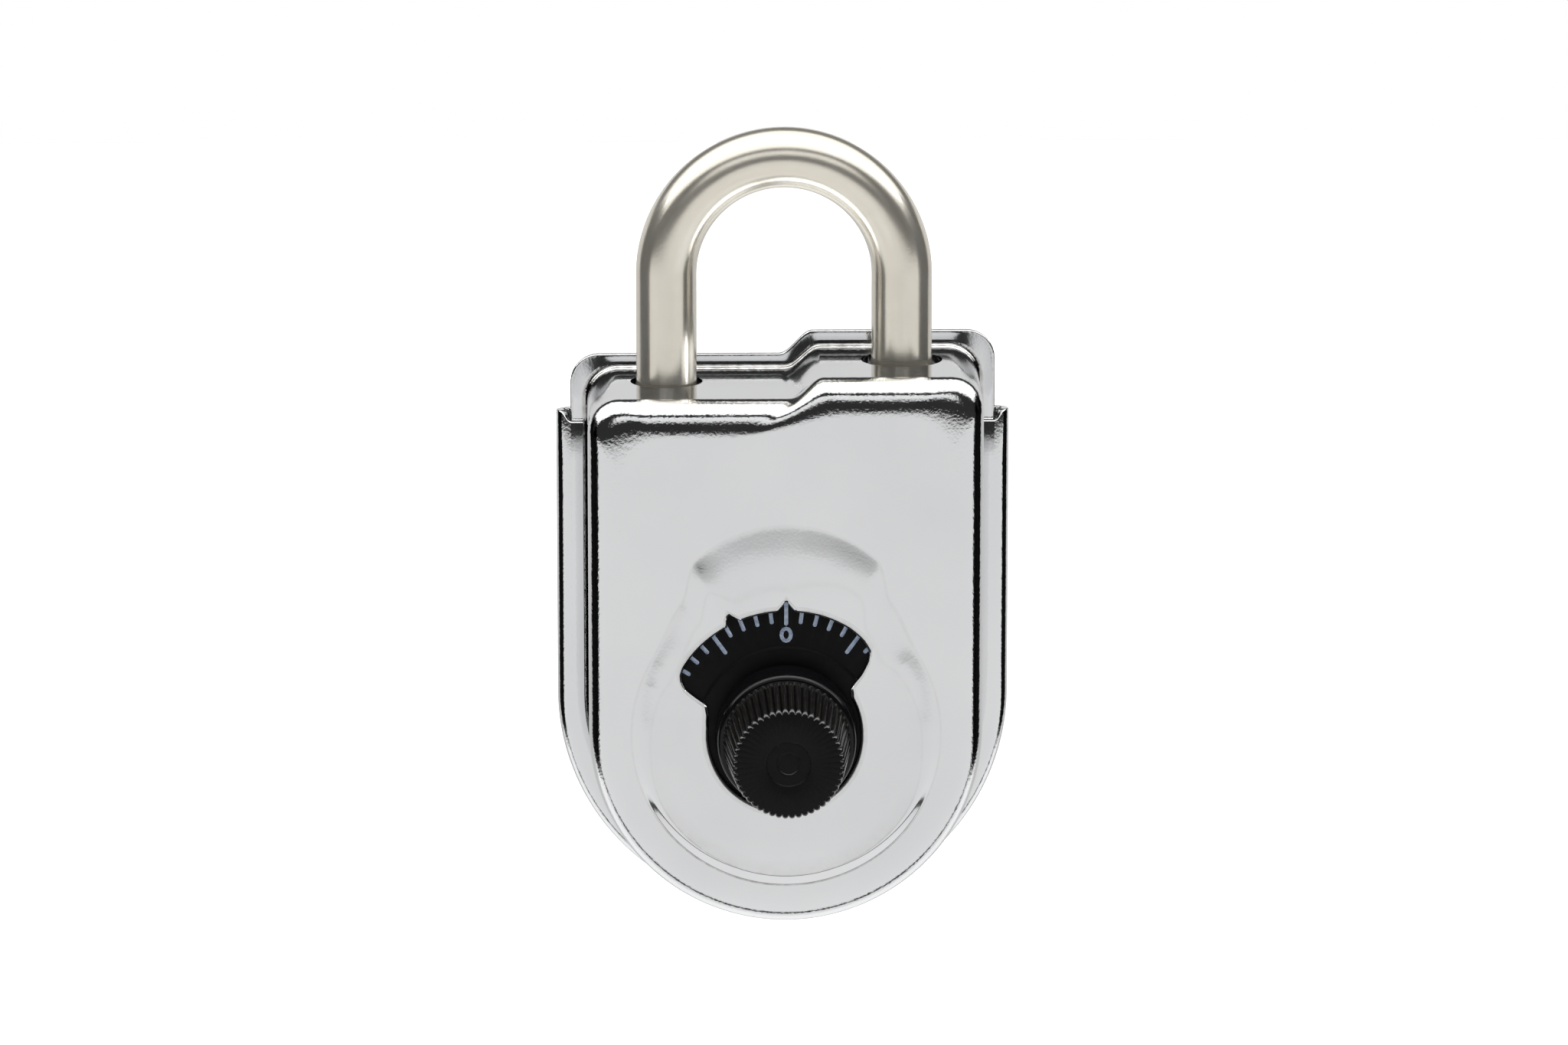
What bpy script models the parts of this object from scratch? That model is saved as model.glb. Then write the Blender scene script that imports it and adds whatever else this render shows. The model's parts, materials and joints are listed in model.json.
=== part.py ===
"""Combination padlock with a steel shackle, a drawn case and a slide-off back cover.

The origin is where the dial axis meets the back face of the cover. +X is to the right as the dial is
read, +Z is up along the shackle, and the dial faces -Y. Dimensions below are in millimetres. A depth
is measured forwards from the back face, so a point at depth d lies at y = -d.
"""
import math

import bmesh
import bpy

MM = 0.001
GAP = 0.3                   # between pieces that touch or run on each other
COLLECTION = "combination_padlock"

# shackle
ROD_R = 3.97
LEG_X = 15.4
BOW_UP = 58.3               # centre of the bow's half circle
SHACKLE_DEPTH = 12.0
HEEL_END_UP = 13.0          # right leg, stays in the case
TOE_END_UP = 32.1           # left leg, leaves the case
LIFT = 13.0
BOLT_TRAVEL = 5.2
RAMP = BOLT_TRAVEL / LIFT   # sideways travel of the bolt for each unit of lift

# case
SHEET = 1.2
FLANGE_DEPTH = 2.5          # front surface of the flange
FLANGE_HALF = 28.1
FLANGE_TOP = (45.9, 49.0)   # left, right
FLANGE_CORNER = 3.8
ROOT_HALF = 25.9
ROOT_TOP = (44.1, 46.9)
ROOT_CORNER = 4.2
ROOT_FILLET = 0.8
FRONT_HALF = 25.7
FRONT_TOP = (44.0, 46.8)
FRONT_DEPTH = 27.3
EDGE_R = 3.0
STEP_X = (0.3, 4.9)         # where the stepped top rises, on the walls
FLANGE_STEP_X = (-0.5, 3.9)
HOLE_R = (4.73, 5.34)       # left, right
HOLE_CUTS = ((41.0, 47.0), (43.0, 49.0))

# raised boss and dial window
BOSS_DEPTH = 28.9
BOSS_R = 20.3
BOSS_SLOPE = 2.3
FAN_R = 17.4
FAN_UP = 10.5
WINDOW_R = 10.1
WINDOW_FAN_R = 16.9
INDEX_R = 18.5
CHANGE_INDEX = -23.0        # degrees clockwise from the top
INDEX_HALF_WIDTH = 1.0
INDEX_OUTLINE = (           # radius, share of the half width
    (WINDOW_FAN_R, -1.0), (17.5, -0.4), (INDEX_R, -0.1), (INDEX_R, 0.1), (17.5, 0.4), (WINDOW_FAN_R, 1.0),
)
WINDOW_LEFT_END = ((10.8, -67.5), (13.2, -63.5), (15.0, -61.7), (16.1, -59.5))
WINDOW_RIGHT_END = ((16.5, 42.0), (15.6, 44.9), (14.4, 46.4), (12.0, 47.2), (10.7, 50.0))
WINDOW_CUT = (27.0, 31.0)

# back cover
COVER_SHEET = 1.0
COVER_HALF = 30.0
COVER_TOP = 38.4
COVER_LIP_TOP = 37.0
COVER_DEPTH = 3.8
COVER_LIP_HALF = 26.4

# dial
DIAL_R = 18.3
DIAL_BACK = 25.2
DIAL_FACE = 26.8
KNOB_FACE = 43.8
HUB_PROFILE = [             # radius, depth
    (8.3, 32.0), (8.9, 31.8), (9.3, 31.3), (9.45, 28.4), (10.3, 27.4), (11.6, 27.2), (11.8, DIAL_FACE),
]
KNOB_EDGE = ((6.6, 0.0), (7.05, 0.4))   # radius, distance behind the face
DIAL_BORE_END = 36.0
SPINDLE_R = 2.2
SPINDLE_DEPTHS = (6.2, 35.6)
RUN_R = SPINDLE_R + GAP
KEYWAY_HALF = 0.8
KEYWAY_TOP = 3.7            # distance of the cam's keyway end from the axis
KEY_FOOT = 1.6
SPINDLE_SLOT_FOOT = 1.3

# mechanism
BACK_PLATE = (3.7, 4.9)
BOLT_PLATE = (5.2, 6.6)
CAM = (7.1, 8.9)
CAM_R = 9.2                 # clears the fence when the bolt is drawn back
WHEEL_R = 14.5
WHEEL_T = 1.6
WHEEL_PITCH = 3.8
WHEEL_BACK = 11.2           # rear face of the rear wheel
HUB_R = 7.3
POST_R = 3.9
LUG_H = 1.2
PIN_RADIUS = 6.3            # drive pins and the lugs they pick up
PIN_R = 0.7
PIN_PROUD = 1.4
GATE_HALF = 1.55
GATE_BOTTOM = 9.3
PIN_INSET = 0.2             # from the rear face of its cam or hub
CAM_PIN_TURN = 15.0         # degrees clockwise from the top
HUB_PIN_TURN = 45.0
LUG_R = (5.6, 7.0)
LUG_TURN = 6.0
SPACER_R = 5.2
POST_FLANGE_R = 6.5
POST_FLANGE_T = 0.5
POST_END = 9.3
SNAP_GROOVE = (9.7, 10.6)
SNAP_GROOVE_R = 3.4
SNAP_R = (3.7, 5.0)
SNAP_DEPTHS = (9.95, 10.3)
SNAP_OPEN = (110, 430)
TENSION_WASHER = (10.6, 10.9)
FENCE_X = (-17.5, -14.9)
FENCE_HALF = 1.2
FENCE_FRONT = 20.6
BOLT_OUTLINE = [
    (-12.5, 41.6), (3.0, 41.6), (3.0, 31.5), (-4.0, 30.0), (-9.2, 16.0), (-9.2, 8.0), (-14.0, 4.0),
    (-14.0, -1.6), (-18.6, -1.6), (-18.6, 4.0), (-20.0, 7.0), (-20.0, 15.0), (-13.5, 30.0), (-12.5, 33.0),
]
BOLT_ROOT = 0.4             # how far nose and fence reach into the bolt's plate
NOSE_ROOT_X = -9.0
NOSE_FRONT = 13.6
BACK_PLATE_HALF = 23.5
BACK_PLATE_TOP = (42.3, 45.1)
FRONT_PLATE = (21.5, 22.9)
FRONT_PLATE_HALF = 23.2
FRONT_PLATE_TOP = (41.8, 44.6)
PLATE_CORNER = 3.0
PLATE_BORE_R = 3.9
SHIELD = (23.2, 24.4)
SHIELD_R = 17.0
BUSHING_R = 3.6
PRESS = 0.1                 # room at each end of a pressed-in piece
SCREW_R = 0.95
SCREW_END = 25.0
SCREW_HEAD_R = (1.3, 1.9)
SCREW_HEAD_T = (0.7, 1.3)   # to the rim, to the crown
SCREW_SLOT_HALF = 0.25
NUT_R = 1.9
NUT_END = 25.4
PILLAR_R = 1.6
PILLARS = [(21.3, 30.0), (-21.3, 26.0), (14.9, -14.9), (-14.9, -14.9)]
STOP_PIN = (11.3, 36.3)
STOP_PIN_R = 1.0
STOP_FLAT_X = 12.7
STOP_ROOM = (0.4, 0.5)      # below and above the pin's way along the flat
LEG_CUT_X = 10.0            # inner end of the cutters that work on a leg
LEG_CUT_DEPTHS = (7.0, 17.0)
GUIDE_HALF = 5.8
GUIDE_UPS = {"heel_guide": (38.7, 44.8), "toe_guide": (33.6, 37.6)}
GUIDE_DEPTHS = (7.0, FRONT_PLATE[0] - GAP)
SEAT_X = (12.8, 18.0)
SEAT_UP = (9.6, 11.4)
SHACKLE_COIL = (1.3, 0.3, 8)    # mean radius, wire radius, turns
BOLT_COIL = (0.82, 0.22, 6)
BOLT_COIL_X = (3.3, 12.3)
BOLT_COIL_UP = 33.2
BOLT_COIL_DEPTH = 6.4
BOLT_SPRING_STOP = ((12.6, 14.0), (31.8, 34.6), (BACK_PLATE[1] + GAP, 7.6))
SPRING_BORE_R = 2.0
SPRING_BORE_TOP = 33.0
NOSE_UP = (38.2, 40.4, 41.6)    # bottom, foot of the square tip, top
NOSE_TIP_X = -13.8
NOTCH_ROOM = 0.35
GUIDE_PINS = [(-2.5, 36.0), (-12.0, 11.0)]
GUIDE_PIN_R = 1.0
KEY_UP = -11.0              # change-key hole below the dial axis
KEY_HOLE_R = (1.6, 2.0)     # wheels, back plate
RIVET_UP = 33.0
RIVET_HOLE_R = 1.0
RIVET_PROFILE = [(0.0, 4.7), (0.7, 4.7), (0.7, 2.8), (1.5, 2.8), (1.2, 2.1), (0.0, 2.0)]
LEAF_HALF = 3.0
LEAF_UP = (35.0, 18.0)
LEAF_T = 0.3
LEAF_DEPTHS = (3.4, 1.55, 2.75)     # at the rivet, at the cover, at the free end

STEEL = ("zinc_plated_steel", (0.62, 0.63, 0.65), 1.0, 0.35)
CHROME = ("chrome_plate", (0.80, 0.80, 0.81), 1.0, 0.08)
NICKEL = ("satin_nickel", (0.66, 0.61, 0.52), 1.0, 0.30)
BRASS = ("brass", (0.72, 0.54, 0.25), 1.0, 0.32)
BLACK = ("gloss_black", (0.012, 0.012, 0.013), 0.0, 0.18)
SPRING = ("spring_steel", (0.45, 0.45, 0.47), 1.0, 0.30)
ZINC = ("cast_zinc", (0.50, 0.51, 0.53), 1.0, 0.50)


def clear_scene():
    """Remove every object and make the two collections."""
    for obj in list(bpy.data.objects):
        bpy.data.objects.remove(obj, do_unlink=True)
    made = []
    for name in (COLLECTION, "cutters"):
        collection = bpy.data.collections.new(name)
        bpy.context.scene.collection.children.link(collection)
        made.append(collection)
    return made


PARTS, CUTTERS = clear_scene()
BODIES = {}


def material(name, finish):
    """A Principled material of the piece's own."""
    kind, colour, metallic, roughness = finish
    made = bpy.data.materials.new(f"{name}_{kind}")
    made.use_nodes = True
    shader = made.node_tree.nodes["Principled BSDF"]
    shader.inputs["Base Color"].default_value = (*colour, 1.0)
    shader.inputs["Metallic"].default_value = metallic
    shader.inputs["Roughness"].default_value = roughness
    made.diffuse_color = (*colour, 1.0)
    return made


def add_object(name, data, finish=None):
    """Link an object: a part when it has a finish, otherwise a cutter."""
    obj = bpy.data.objects.new(name, data)
    if finish is None:
        CUTTERS.objects.link(obj)
        obj.hide_render = True
        obj.display_type = "WIRE"
    else:
        PARTS.objects.link(obj)
        data.materials.append(material(name, finish))
    return obj


def body(name, x=0.0, up=0.0, depth=0.0):
    """An empty on a moving body's axis, which its pieces hang from."""
    empty = bpy.data.objects.new(f"{name}_axis", None)
    PARTS.objects.link(empty)
    empty.location = (x * MM, -depth * MM, up * MM)
    BODIES[name] = empty


def carry(obj, name):
    """Parent a piece to a moving body and leave it where it is."""
    obj.parent = BODIES[name]
    obj.location = obj.location - BODIES[name].location
    return obj


def stand_up(obj, x=0.0, up=0.0, depth=0.0):
    """Place a piece drawn in front view: its X is right, its Y is up and its Z is forwards."""
    obj.rotation_euler = (math.pi / 2, 0.0, 0.0)
    obj.location = (x * MM, -depth * MM, up * MM)
    return obj


def circle(radius, steps, x=0.0, up=0.0):
    """A closed loop of points round a circle in front view."""
    angles = [math.tau * i / steps for i in range(steps)]
    return [(x + radius * math.cos(a), up + radius * math.sin(a)) for a in angles]


def clock(radius, degrees):
    """A point at a radius from the dial axis, its angle clockwise from the top."""
    angle = math.radians(degrees)
    return (radius * math.sin(angle), radius * math.cos(angle))


def flat_piece(name, finish, loops, depths, x=0.0, up=0.0):
    """A plate: the first loop is its outline and any others are holes."""
    curve = bpy.data.curves.new(name, "CURVE")
    curve.dimensions = "2D"
    curve.fill_mode = "BOTH"
    curve.extrude = (depths[1] - depths[0]) / 2 * MM
    for loop in loops:
        spline = curve.splines.new("POLY")
        spline.points.add(len(loop) - 1)
        for point, (px, py) in zip(spline.points, loop):
            point.co = (px * MM, py * MM, 0.0, 1.0)
        spline.use_cyclic_u = True
    obj = add_object(name, curve, finish)
    return stand_up(obj, x, up, (depths[0] + depths[1]) / 2)


def turned(name, finish, profile, x=0.0, up=0.0, steps=24, ring=False):
    """A lathe piece on a front-to-back axis. The profile is (radius, depth), front to back outside."""
    mesh = bpy.data.meshes.new(name)
    edges = [(i, i + 1) for i in range(len(profile) - 1)]
    if ring:
        edges.append((len(profile) - 1, 0))
    mesh.from_pydata([(r * MM, 0.0, d * MM) for r, d in profile], edges, [])
    obj = add_object(name, mesh, finish)
    screw = obj.modifiers.new("turn", "SCREW")
    screw.steps = steps
    screw.render_steps = steps
    screw.use_merge_vertices = True
    screw.merge_threshold = 0.00001
    return stand_up(obj, x, up)


def rod(name, finish, radius, depths, x=0.0, up=0.0, steps=16):
    """A plain pin."""
    profile = [(0.0, depths[1]), (radius, depths[1]), (radius, depths[0]), (0.0, depths[0])]
    return turned(name, finish, profile, x, up, steps)


def tube(name, finish, radii, depths, x=0.0, up=0.0, steps=24):
    """A plain ring or sleeve."""
    inner, outer = radii
    profile = [(inner, depths[1]), (outer, depths[1]), (outer, depths[0]), (inner, depths[0])]
    return turned(name, finish, profile, x, up, steps, ring=True)


def block(name, finish, xs, ups, depths):
    """A rectangular piece."""
    mesh = bpy.data.meshes.new(name)
    shape = bmesh.new()
    bmesh.ops.create_cube(shape, size=1.0)
    centre = ((xs[0] + xs[1]) / 2, -(depths[0] + depths[1]) / 2, (ups[0] + ups[1]) / 2)
    size = (xs[1] - xs[0], depths[1] - depths[0], ups[1] - ups[0])
    for vert in shape.verts:
        vert.co = [(c + s * v) * MM for c, s, v in zip(centre, size, vert.co)]
    shape.to_mesh(mesh)
    shape.free()
    return add_object(name, mesh, finish)


def upright(name, radius, ups, x, depth=SHACKLE_DEPTH, steps=32):
    """A round cutter that stands on end."""
    mesh = bpy.data.meshes.new(name)
    shape = bmesh.new()
    bmesh.ops.create_cone(
        shape, cap_ends=True, segments=steps, radius1=radius * MM, radius2=radius * MM,
        depth=(ups[1] - ups[0]) * MM,
    )
    shape.to_mesh(mesh)
    shape.free()
    obj = add_object(name, mesh)
    obj.location = (x * MM, -depth * MM, (ups[0] + ups[1]) / 2 * MM)
    return obj


def combine(target, other, operation="DIFFERENCE"):
    """Cut or join with an exact Boolean."""
    modifier = target.modifiers.new(other.name, "BOOLEAN")
    modifier.operation = operation
    modifier.solver = "EXACT"
    modifier.object = other
    return target


def to_mesh(obj, finish=None):
    """Turn a curve into a welded mesh object that Booleans can use."""
    bpy.context.view_layer.update()
    evaluated = obj.evaluated_get(bpy.context.evaluated_depsgraph_get())
    mesh = bpy.data.meshes.new_from_object(evaluated)
    mesh.materials.clear()
    shape = bmesh.new()
    shape.from_mesh(mesh)
    bmesh.ops.remove_doubles(shape, verts=shape.verts, dist=0.00001)
    bmesh.ops.recalc_face_normals(shape, faces=shape.faces)
    shape.to_mesh(mesh)
    shape.free()
    name = obj.name
    matrix = obj.matrix_world.copy()
    bpy.data.objects.remove(obj, do_unlink=True)
    made = add_object(name, mesh, finish)
    made.matrix_world = matrix
    return made


def flat_cutter(name, loop, depths):
    """A plate-shaped cutter."""
    return to_mesh(flat_piece(name, CHROME, [loop], depths))


def smooth(obj, degrees=40.0):
    """Shade round pieces smooth and keep their corners."""
    obj.data.shade_smooth()
    obj.data.set_sharp_from_angle(angle=math.radians(degrees))
    return obj


def ease(t):
    """A smooth step from 0 to 1."""
    t = min(max(t, 0.0), 1.0)
    return t * t * (3.0 - 2.0 * t)


def arc(cx, cy, radius, start, end, steps):
    """Points along an arc, angles in degrees anticlockwise from the right, last point left out."""
    angles = [math.radians(start + (end - start) * i / steps) for i in range(steps)]
    return [(cx + radius * math.cos(a), cy + radius * math.sin(a)) for a in angles]


def line(start, end, steps):
    """Points along a straight line, last point left out."""
    return [
        (start[0] + (end[0] - start[0]) * i / steps, start[1] + (end[1] - start[1]) * i / steps)
        for i in range(steps)
    ]


def case_outline(half, tops, corner, step=STEP_X):
    """Anticlockwise outline from the bottom: half circle, straight sides and a stepped top."""
    left, right = tops
    inner = half - corner
    points = arc(0.0, 0.0, half, -90, 0, 10)
    points += line((half, 0.0), (half, right - corner), 8)
    points += arc(inner, right - corner, corner, 0, 90, 5)
    points += line((inner, right), (step[1], right), 4)
    for i in range(8):
        t = i / 8
        points.append((step[1] - (step[1] - step[0]) * t, right + (left - right) * ease(t)))
    points += line((step[0], left), (-inner, left), 4)
    points += arc(-inner, left - corner, corner, 90, 180, 5)
    points += line((-half, left - corner), (-half, 0.0), 8)
    points += arc(0.0, 0.0, half, 180, 270, 10)
    return points


def boss_radius(x, up):
    """Distance from the dial axis to the foot of the raised boss, in a point's direction."""
    turn = abs(math.degrees(math.atan2(x, up)))
    angle = math.radians(turn)
    reach = max(FAN_R**2 - (FAN_UP * math.sin(angle)) ** 2, 0.0)
    rise = max(FAN_UP * math.cos(angle) + math.sqrt(reach) - BOSS_R, 0.0)
    shoulder = 1.0 - 0.5 * ease((turn - 27.0) / 11.0)
    flare = 1.0 - ease((turn - 36.0) / 32.0)
    return BOSS_R + rise * shoulder * flare


def loft(rings, closed):
    """Quads between rings of (x, up, depth) points; the list runs towards the outline's inside."""
    shape = bmesh.new()
    rows = [[shape.verts.new((x * MM, up * MM, d * MM)) for x, up, d in ring] for ring in rings]
    count = len(rows[0])
    for outer, inner in zip(rows, rows[1:]):
        for i in range(count if closed else count - 1):
            j = (i + 1) % count
            shape.faces.new((outer[i], outer[j], inner[j], inner[i]))
    return shape, rows


def window_outline():
    """The dial window: a round hole for the knob, a fan for the marks and two index notches."""
    points = [clock(WINDOW_R, 55.0 + 233.0 * i / 20) for i in range(21)]
    points += [clock(r, a) for r, a in WINDOW_LEFT_END]
    angle = -57.0
    while angle < 41.0:
        near = [n for n in (CHANGE_INDEX, 0.0) if abs(angle - n) < 5.0]
        if near:
            half = math.degrees(INDEX_HALF_WIDTH / WINDOW_FAN_R)
            for r, turn in INDEX_OUTLINE:
                points.append(clock(r, near[0] + turn * half))
            angle = near[0] + 5.5
        else:
            points.append(clock(WINDOW_FAN_R, angle))
            angle += 5.0
    points += [clock(r, a) for r, a in WINDOW_RIGHT_END]
    return points


def make_front_case():
    """Drawn shell: flange, walls, rounded front edge and raised boss, then the openings."""
    def outline(half, tops, corner, inset, depth, step=STEP_X):
        tops = [t - inset for t in tops]
        return [(x, up, depth) for x, up in case_outline(half - inset, tops, corner - inset, step)]

    rings = [outline(FLANGE_HALF, FLANGE_TOP, FLANGE_CORNER, 0.0, FLANGE_DEPTH, FLANGE_STEP_X)]
    for turn in (0, 45, 90):
        angle = math.radians(turn)
        inset = -ROOT_FILLET * (1.0 - math.sin(angle))
        depth = FLANGE_DEPTH + ROOT_FILLET * (1.0 - math.cos(angle))
        rings.append(outline(ROOT_HALF, ROOT_TOP, ROOT_CORNER, inset, depth))
    for turn in (0, 30, 60, 90):
        angle = math.radians(turn)
        inset = EDGE_R * (1.0 - math.cos(angle))
        depth = FRONT_DEPTH - EDGE_R * (1.0 - math.sin(angle))
        rings.append(outline(FRONT_HALF, FRONT_TOP, ROOT_CORNER, inset, depth))
    guide = case_outline(FRONT_HALF - EDGE_R, [t - EDGE_R for t in FRONT_TOP], ROOT_CORNER - EDGE_R)
    for inset, share in ((0.0, 0.0), (0.5, 0.5), (1.0, 1.0)):
        ring = []
        for x, up in guide:
            scale = (boss_radius(x, up) - BOSS_SLOPE * inset) / math.hypot(x, up)
            ring.append((x * scale, up * scale, FRONT_DEPTH + (BOSS_DEPTH - FRONT_DEPTH) * share))
        rings.append(ring)
    shape, rows = loft(rings, closed=True)
    shape.faces.new(rows[-1])
    mesh = bpy.data.meshes.new("front_case")
    shape.to_mesh(mesh)
    shape.free()
    case = stand_up(add_object("front_case", mesh, CHROME))
    wall = case.modifiers.new("sheet", "SOLIDIFY")
    wall.thickness = SHEET * MM
    wall.offset = -1.0
    wall.use_even_offset = True
    combine(case, flat_cutter("window_cutter", window_outline(), WINDOW_CUT))
    combine(case, upright("toe_hole_cutter", HOLE_R[0], HOLE_CUTS[0], -LEG_X))
    combine(case, upright("heel_hole_cutter", HOLE_R[1], HOLE_CUTS[1], LEG_X))


def cover_path(half, top):
    """Down the left side, round the bottom and up the right side."""
    points = [(-half, top), (-half, top / 2)]
    points += arc(0.0, 0.0, half, 180, 360, 28)
    return points + [(half, 0.0), (half, top / 2), (half, top)]


def make_back_cover():
    """Flat plate with its edge rolled forwards and in, to run on the case's flange."""
    roll = COVER_DEPTH / 2
    centre = COVER_HALF - roll
    section = [(COVER_LIP_HALF, COVER_DEPTH, COVER_LIP_TOP)]
    for i in range(7):
        angle = math.radians(90 - 30 * i)
        top = COVER_LIP_TOP if i == 0 else COVER_TOP
        section.append((centre + roll * math.cos(angle), roll + roll * math.sin(angle), top))
    section.reverse()
    rings = [[(x, up, d) for x, up in cover_path(half, top)] for half, d, top in section]
    shape, rows = loft(rings, closed=False)
    shape.faces.new(list(reversed(rows[0])))
    mesh = bpy.data.meshes.new("back_cover")
    shape.to_mesh(mesh)
    shape.free()
    cover = stand_up(add_object("back_cover", mesh, CHROME))
    sheet = cover.modifiers.new("sheet", "SOLIDIFY")
    sheet.thickness = COVER_SHEET * MM
    sheet.offset = -1.0
    sheet.use_even_offset = True
    carry(cover, "back_cover")


def make_shackle():
    """Bent rod with a locking notch in the toe, a stop flat and groove in the heel and a spring bore."""
    path = [(LEG_X, HEEL_END_UP), (LEG_X, 30.0), (LEG_X, 45.0)]
    path += arc(0.0, BOW_UP, LEG_X, 0, 180, 24)
    path += [(-LEG_X, BOW_UP), (-LEG_X, 45.0), (-LEG_X, TOE_END_UP)]
    curve = bpy.data.curves.new("shackle", "CURVE")
    curve.dimensions = "3D"
    curve.bevel_depth = ROD_R * MM
    curve.bevel_resolution = 8
    curve.use_fill_caps = True
    spline = curve.splines.new("POLY")
    spline.points.add(len(path) - 1)
    for point, (x, up) in zip(spline.points, path):
        point.co = (x * MM, -SHACKLE_DEPTH * MM, up * MM, 1.0)
    shackle = to_mesh(add_object("shackle", curve, NICKEL), NICKEL)

    notch_x = NOSE_TIP_X - NOTCH_ROOM
    foot = NOSE_UP[1] - GAP - 0.2
    run = (ROD_R - LEG_X - notch_x) / RAMP
    top = NOSE_UP[2] + GAP
    notch = [(-LEG_CUT_X, top), (notch_x, top), (notch_x, foot), (ROD_R - LEG_X, foot - run),
             (-LEG_CUT_X, foot - run)]
    combine(shackle, flat_cutter("notch_cutter", notch, LEG_CUT_DEPTHS))
    low = STOP_PIN[1] - STOP_PIN_R - LIFT - STOP_ROOM[0]
    high = STOP_PIN[1] + STOP_PIN_R + STOP_ROOM[1]
    flat = [(LEG_CUT_X, low), (STOP_FLAT_X, low), (STOP_FLAT_X, high), (LEG_CUT_X, high)]
    combine(shackle, flat_cutter("stop_flat_cutter", flat, LEG_CUT_DEPTHS))
    groove_ups = (low, low + 2 * (STOP_PIN_R + STOP_ROOM[0]))
    groove = upright("stop_groove_cutter", ROD_R + 2.0, groove_ups, LEG_X, steps=24)
    core_ups = (groove_ups[0] - 2.0, groove_ups[1] + 2.0)
    combine(groove, upright("groove_core", LEG_X - STOP_FLAT_X, core_ups, LEG_X, steps=24))
    combine(shackle, groove)
    bore = (HEEL_END_UP - 1.0, SPRING_BORE_TOP)
    combine(shackle, upright("spring_bore_cutter", SPRING_BORE_R, bore, LEG_X, steps=16))
    carry(shackle, "shackle")


def make_dial():
    """One-piece dial and knob on its spindle, with the keyed drive cam at the back."""
    profile = [(0.0, KNOB_FACE)] + [(radius, KNOB_FACE - behind) for radius, behind in KNOB_EDGE] + HUB_PROFILE
    profile += [(DIAL_R, DIAL_FACE), (DIAL_R, DIAL_BACK), (RUN_R, DIAL_BACK), (RUN_R, DIAL_BORE_END),
                (0.0, DIAL_BORE_END)]
    carry(smooth(turned("dial", BLACK, profile, steps=48)), "dial")
    spindle = rod("spindle", STEEL, SPINDLE_R, SPINDLE_DEPTHS, steps=24)
    slot_ups = (SPINDLE_SLOT_FOOT, KEYWAY_TOP)
    slot_depths = (SPINDLE_DEPTHS[0] - 1.0, CAM[1] + GAP)
    combine(spindle, block("spindle_slot_cutter", None, (-KEYWAY_HALF, KEYWAY_HALF), slot_ups, slot_depths))
    carry(spindle, "dial")
    key_half = KEYWAY_HALF - GAP
    key_ups = (KEY_FOOT, KEYWAY_TOP - GAP)
    key_depths = (CAM[0] + PRESS, CAM[1] - PRESS)
    carry(block("spline_key", STEEL, (-key_half, key_half), key_ups, key_depths), "dial")

    start = math.degrees(math.acos(KEYWAY_HALF / RUN_R))
    bore = arc(0.0, 0.0, RUN_R, 180 - start, 360 + start, 20)
    bore += [clock(RUN_R, 90 - start), (KEYWAY_HALF, KEYWAY_TOP), (-KEYWAY_HALF, KEYWAY_TOP)]
    pin = clock(PIN_RADIUS, CAM_PIN_TURN)
    loops = [circle(CAM_R, 40), bore, circle(PIN_R + GAP, 12, *pin)]
    carry(flat_piece("drive_cam", BRASS, loops, CAM), "dial")
    depths = (CAM[0] + PIN_INSET, CAM[1] + PIN_PROUD)
    carry(rod("cam_drive_pin", STEEL, PIN_R, depths, *pin, steps=12), "dial")


def wheel_outline():
    """A disc with the gate that takes the fence, at nine o'clock."""
    half = math.degrees(math.asin(GATE_HALF / WHEEL_R))
    sweep = 360.0 - 2 * half
    points = []
    for i in range(41):
        angle = math.radians(-180.0 + half + sweep * i / 40)
        points.append((WHEEL_R * math.cos(angle), WHEEL_R * math.sin(angle)))
    return points + [(-GATE_BOTTOM, GATE_HALF), (-GATE_BOTTOM, -GATE_HALF)]


def hub_shape(name, back, pin):
    """Hub of one wheel with the lug on its rear face that the next drive pin picks up."""
    loops = [circle(HUB_R, 32), circle(POST_R + GAP, 20)]
    if pin:
        loops.append(circle(PIN_R + GAP, 12, *pin))
    hub = to_mesh(flat_piece(name, BRASS, loops, (back, back + WHEEL_T)), BRASS)
    inner, outer = LUG_R
    lug = [clock(inner, -LUG_TURN), clock(inner, LUG_TURN), clock(outer, LUG_TURN), clock(outer, -LUG_TURN)]
    combine(hub, flat_cutter(f"{name}_lug", lug, (back - LUG_H, back + WHEEL_T / 3)), "UNION")
    return hub


def make_wheels():
    """Three combination wheels, numbered from the dial, each with a hub and a drive pin."""
    for number in (1, 2, 3):
        back = WHEEL_BACK + WHEEL_PITCH * (3 - number)
        name = f"wheel_{number}"
        loops = [wheel_outline(), circle(HUB_R + GAP, 32), circle(KEY_HOLE_R[0], 12, 0.0, KEY_UP)]
        carry(flat_piece(name, BRASS, loops, (back, back + WHEEL_T)), name)
        pin = clock(PIN_RADIUS, HUB_PIN_TURN) if number > 1 else None
        carry(hub_shape(f"wheel_{number}_hub", back, pin), name)
        if pin:
            depths = (back + PIN_INSET, back + WHEEL_T + PIN_PROUD)
            carry(rod(f"wheel_{number}_drive_pin", STEEL, PIN_R, depths, *pin, steps=12), name)


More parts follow.
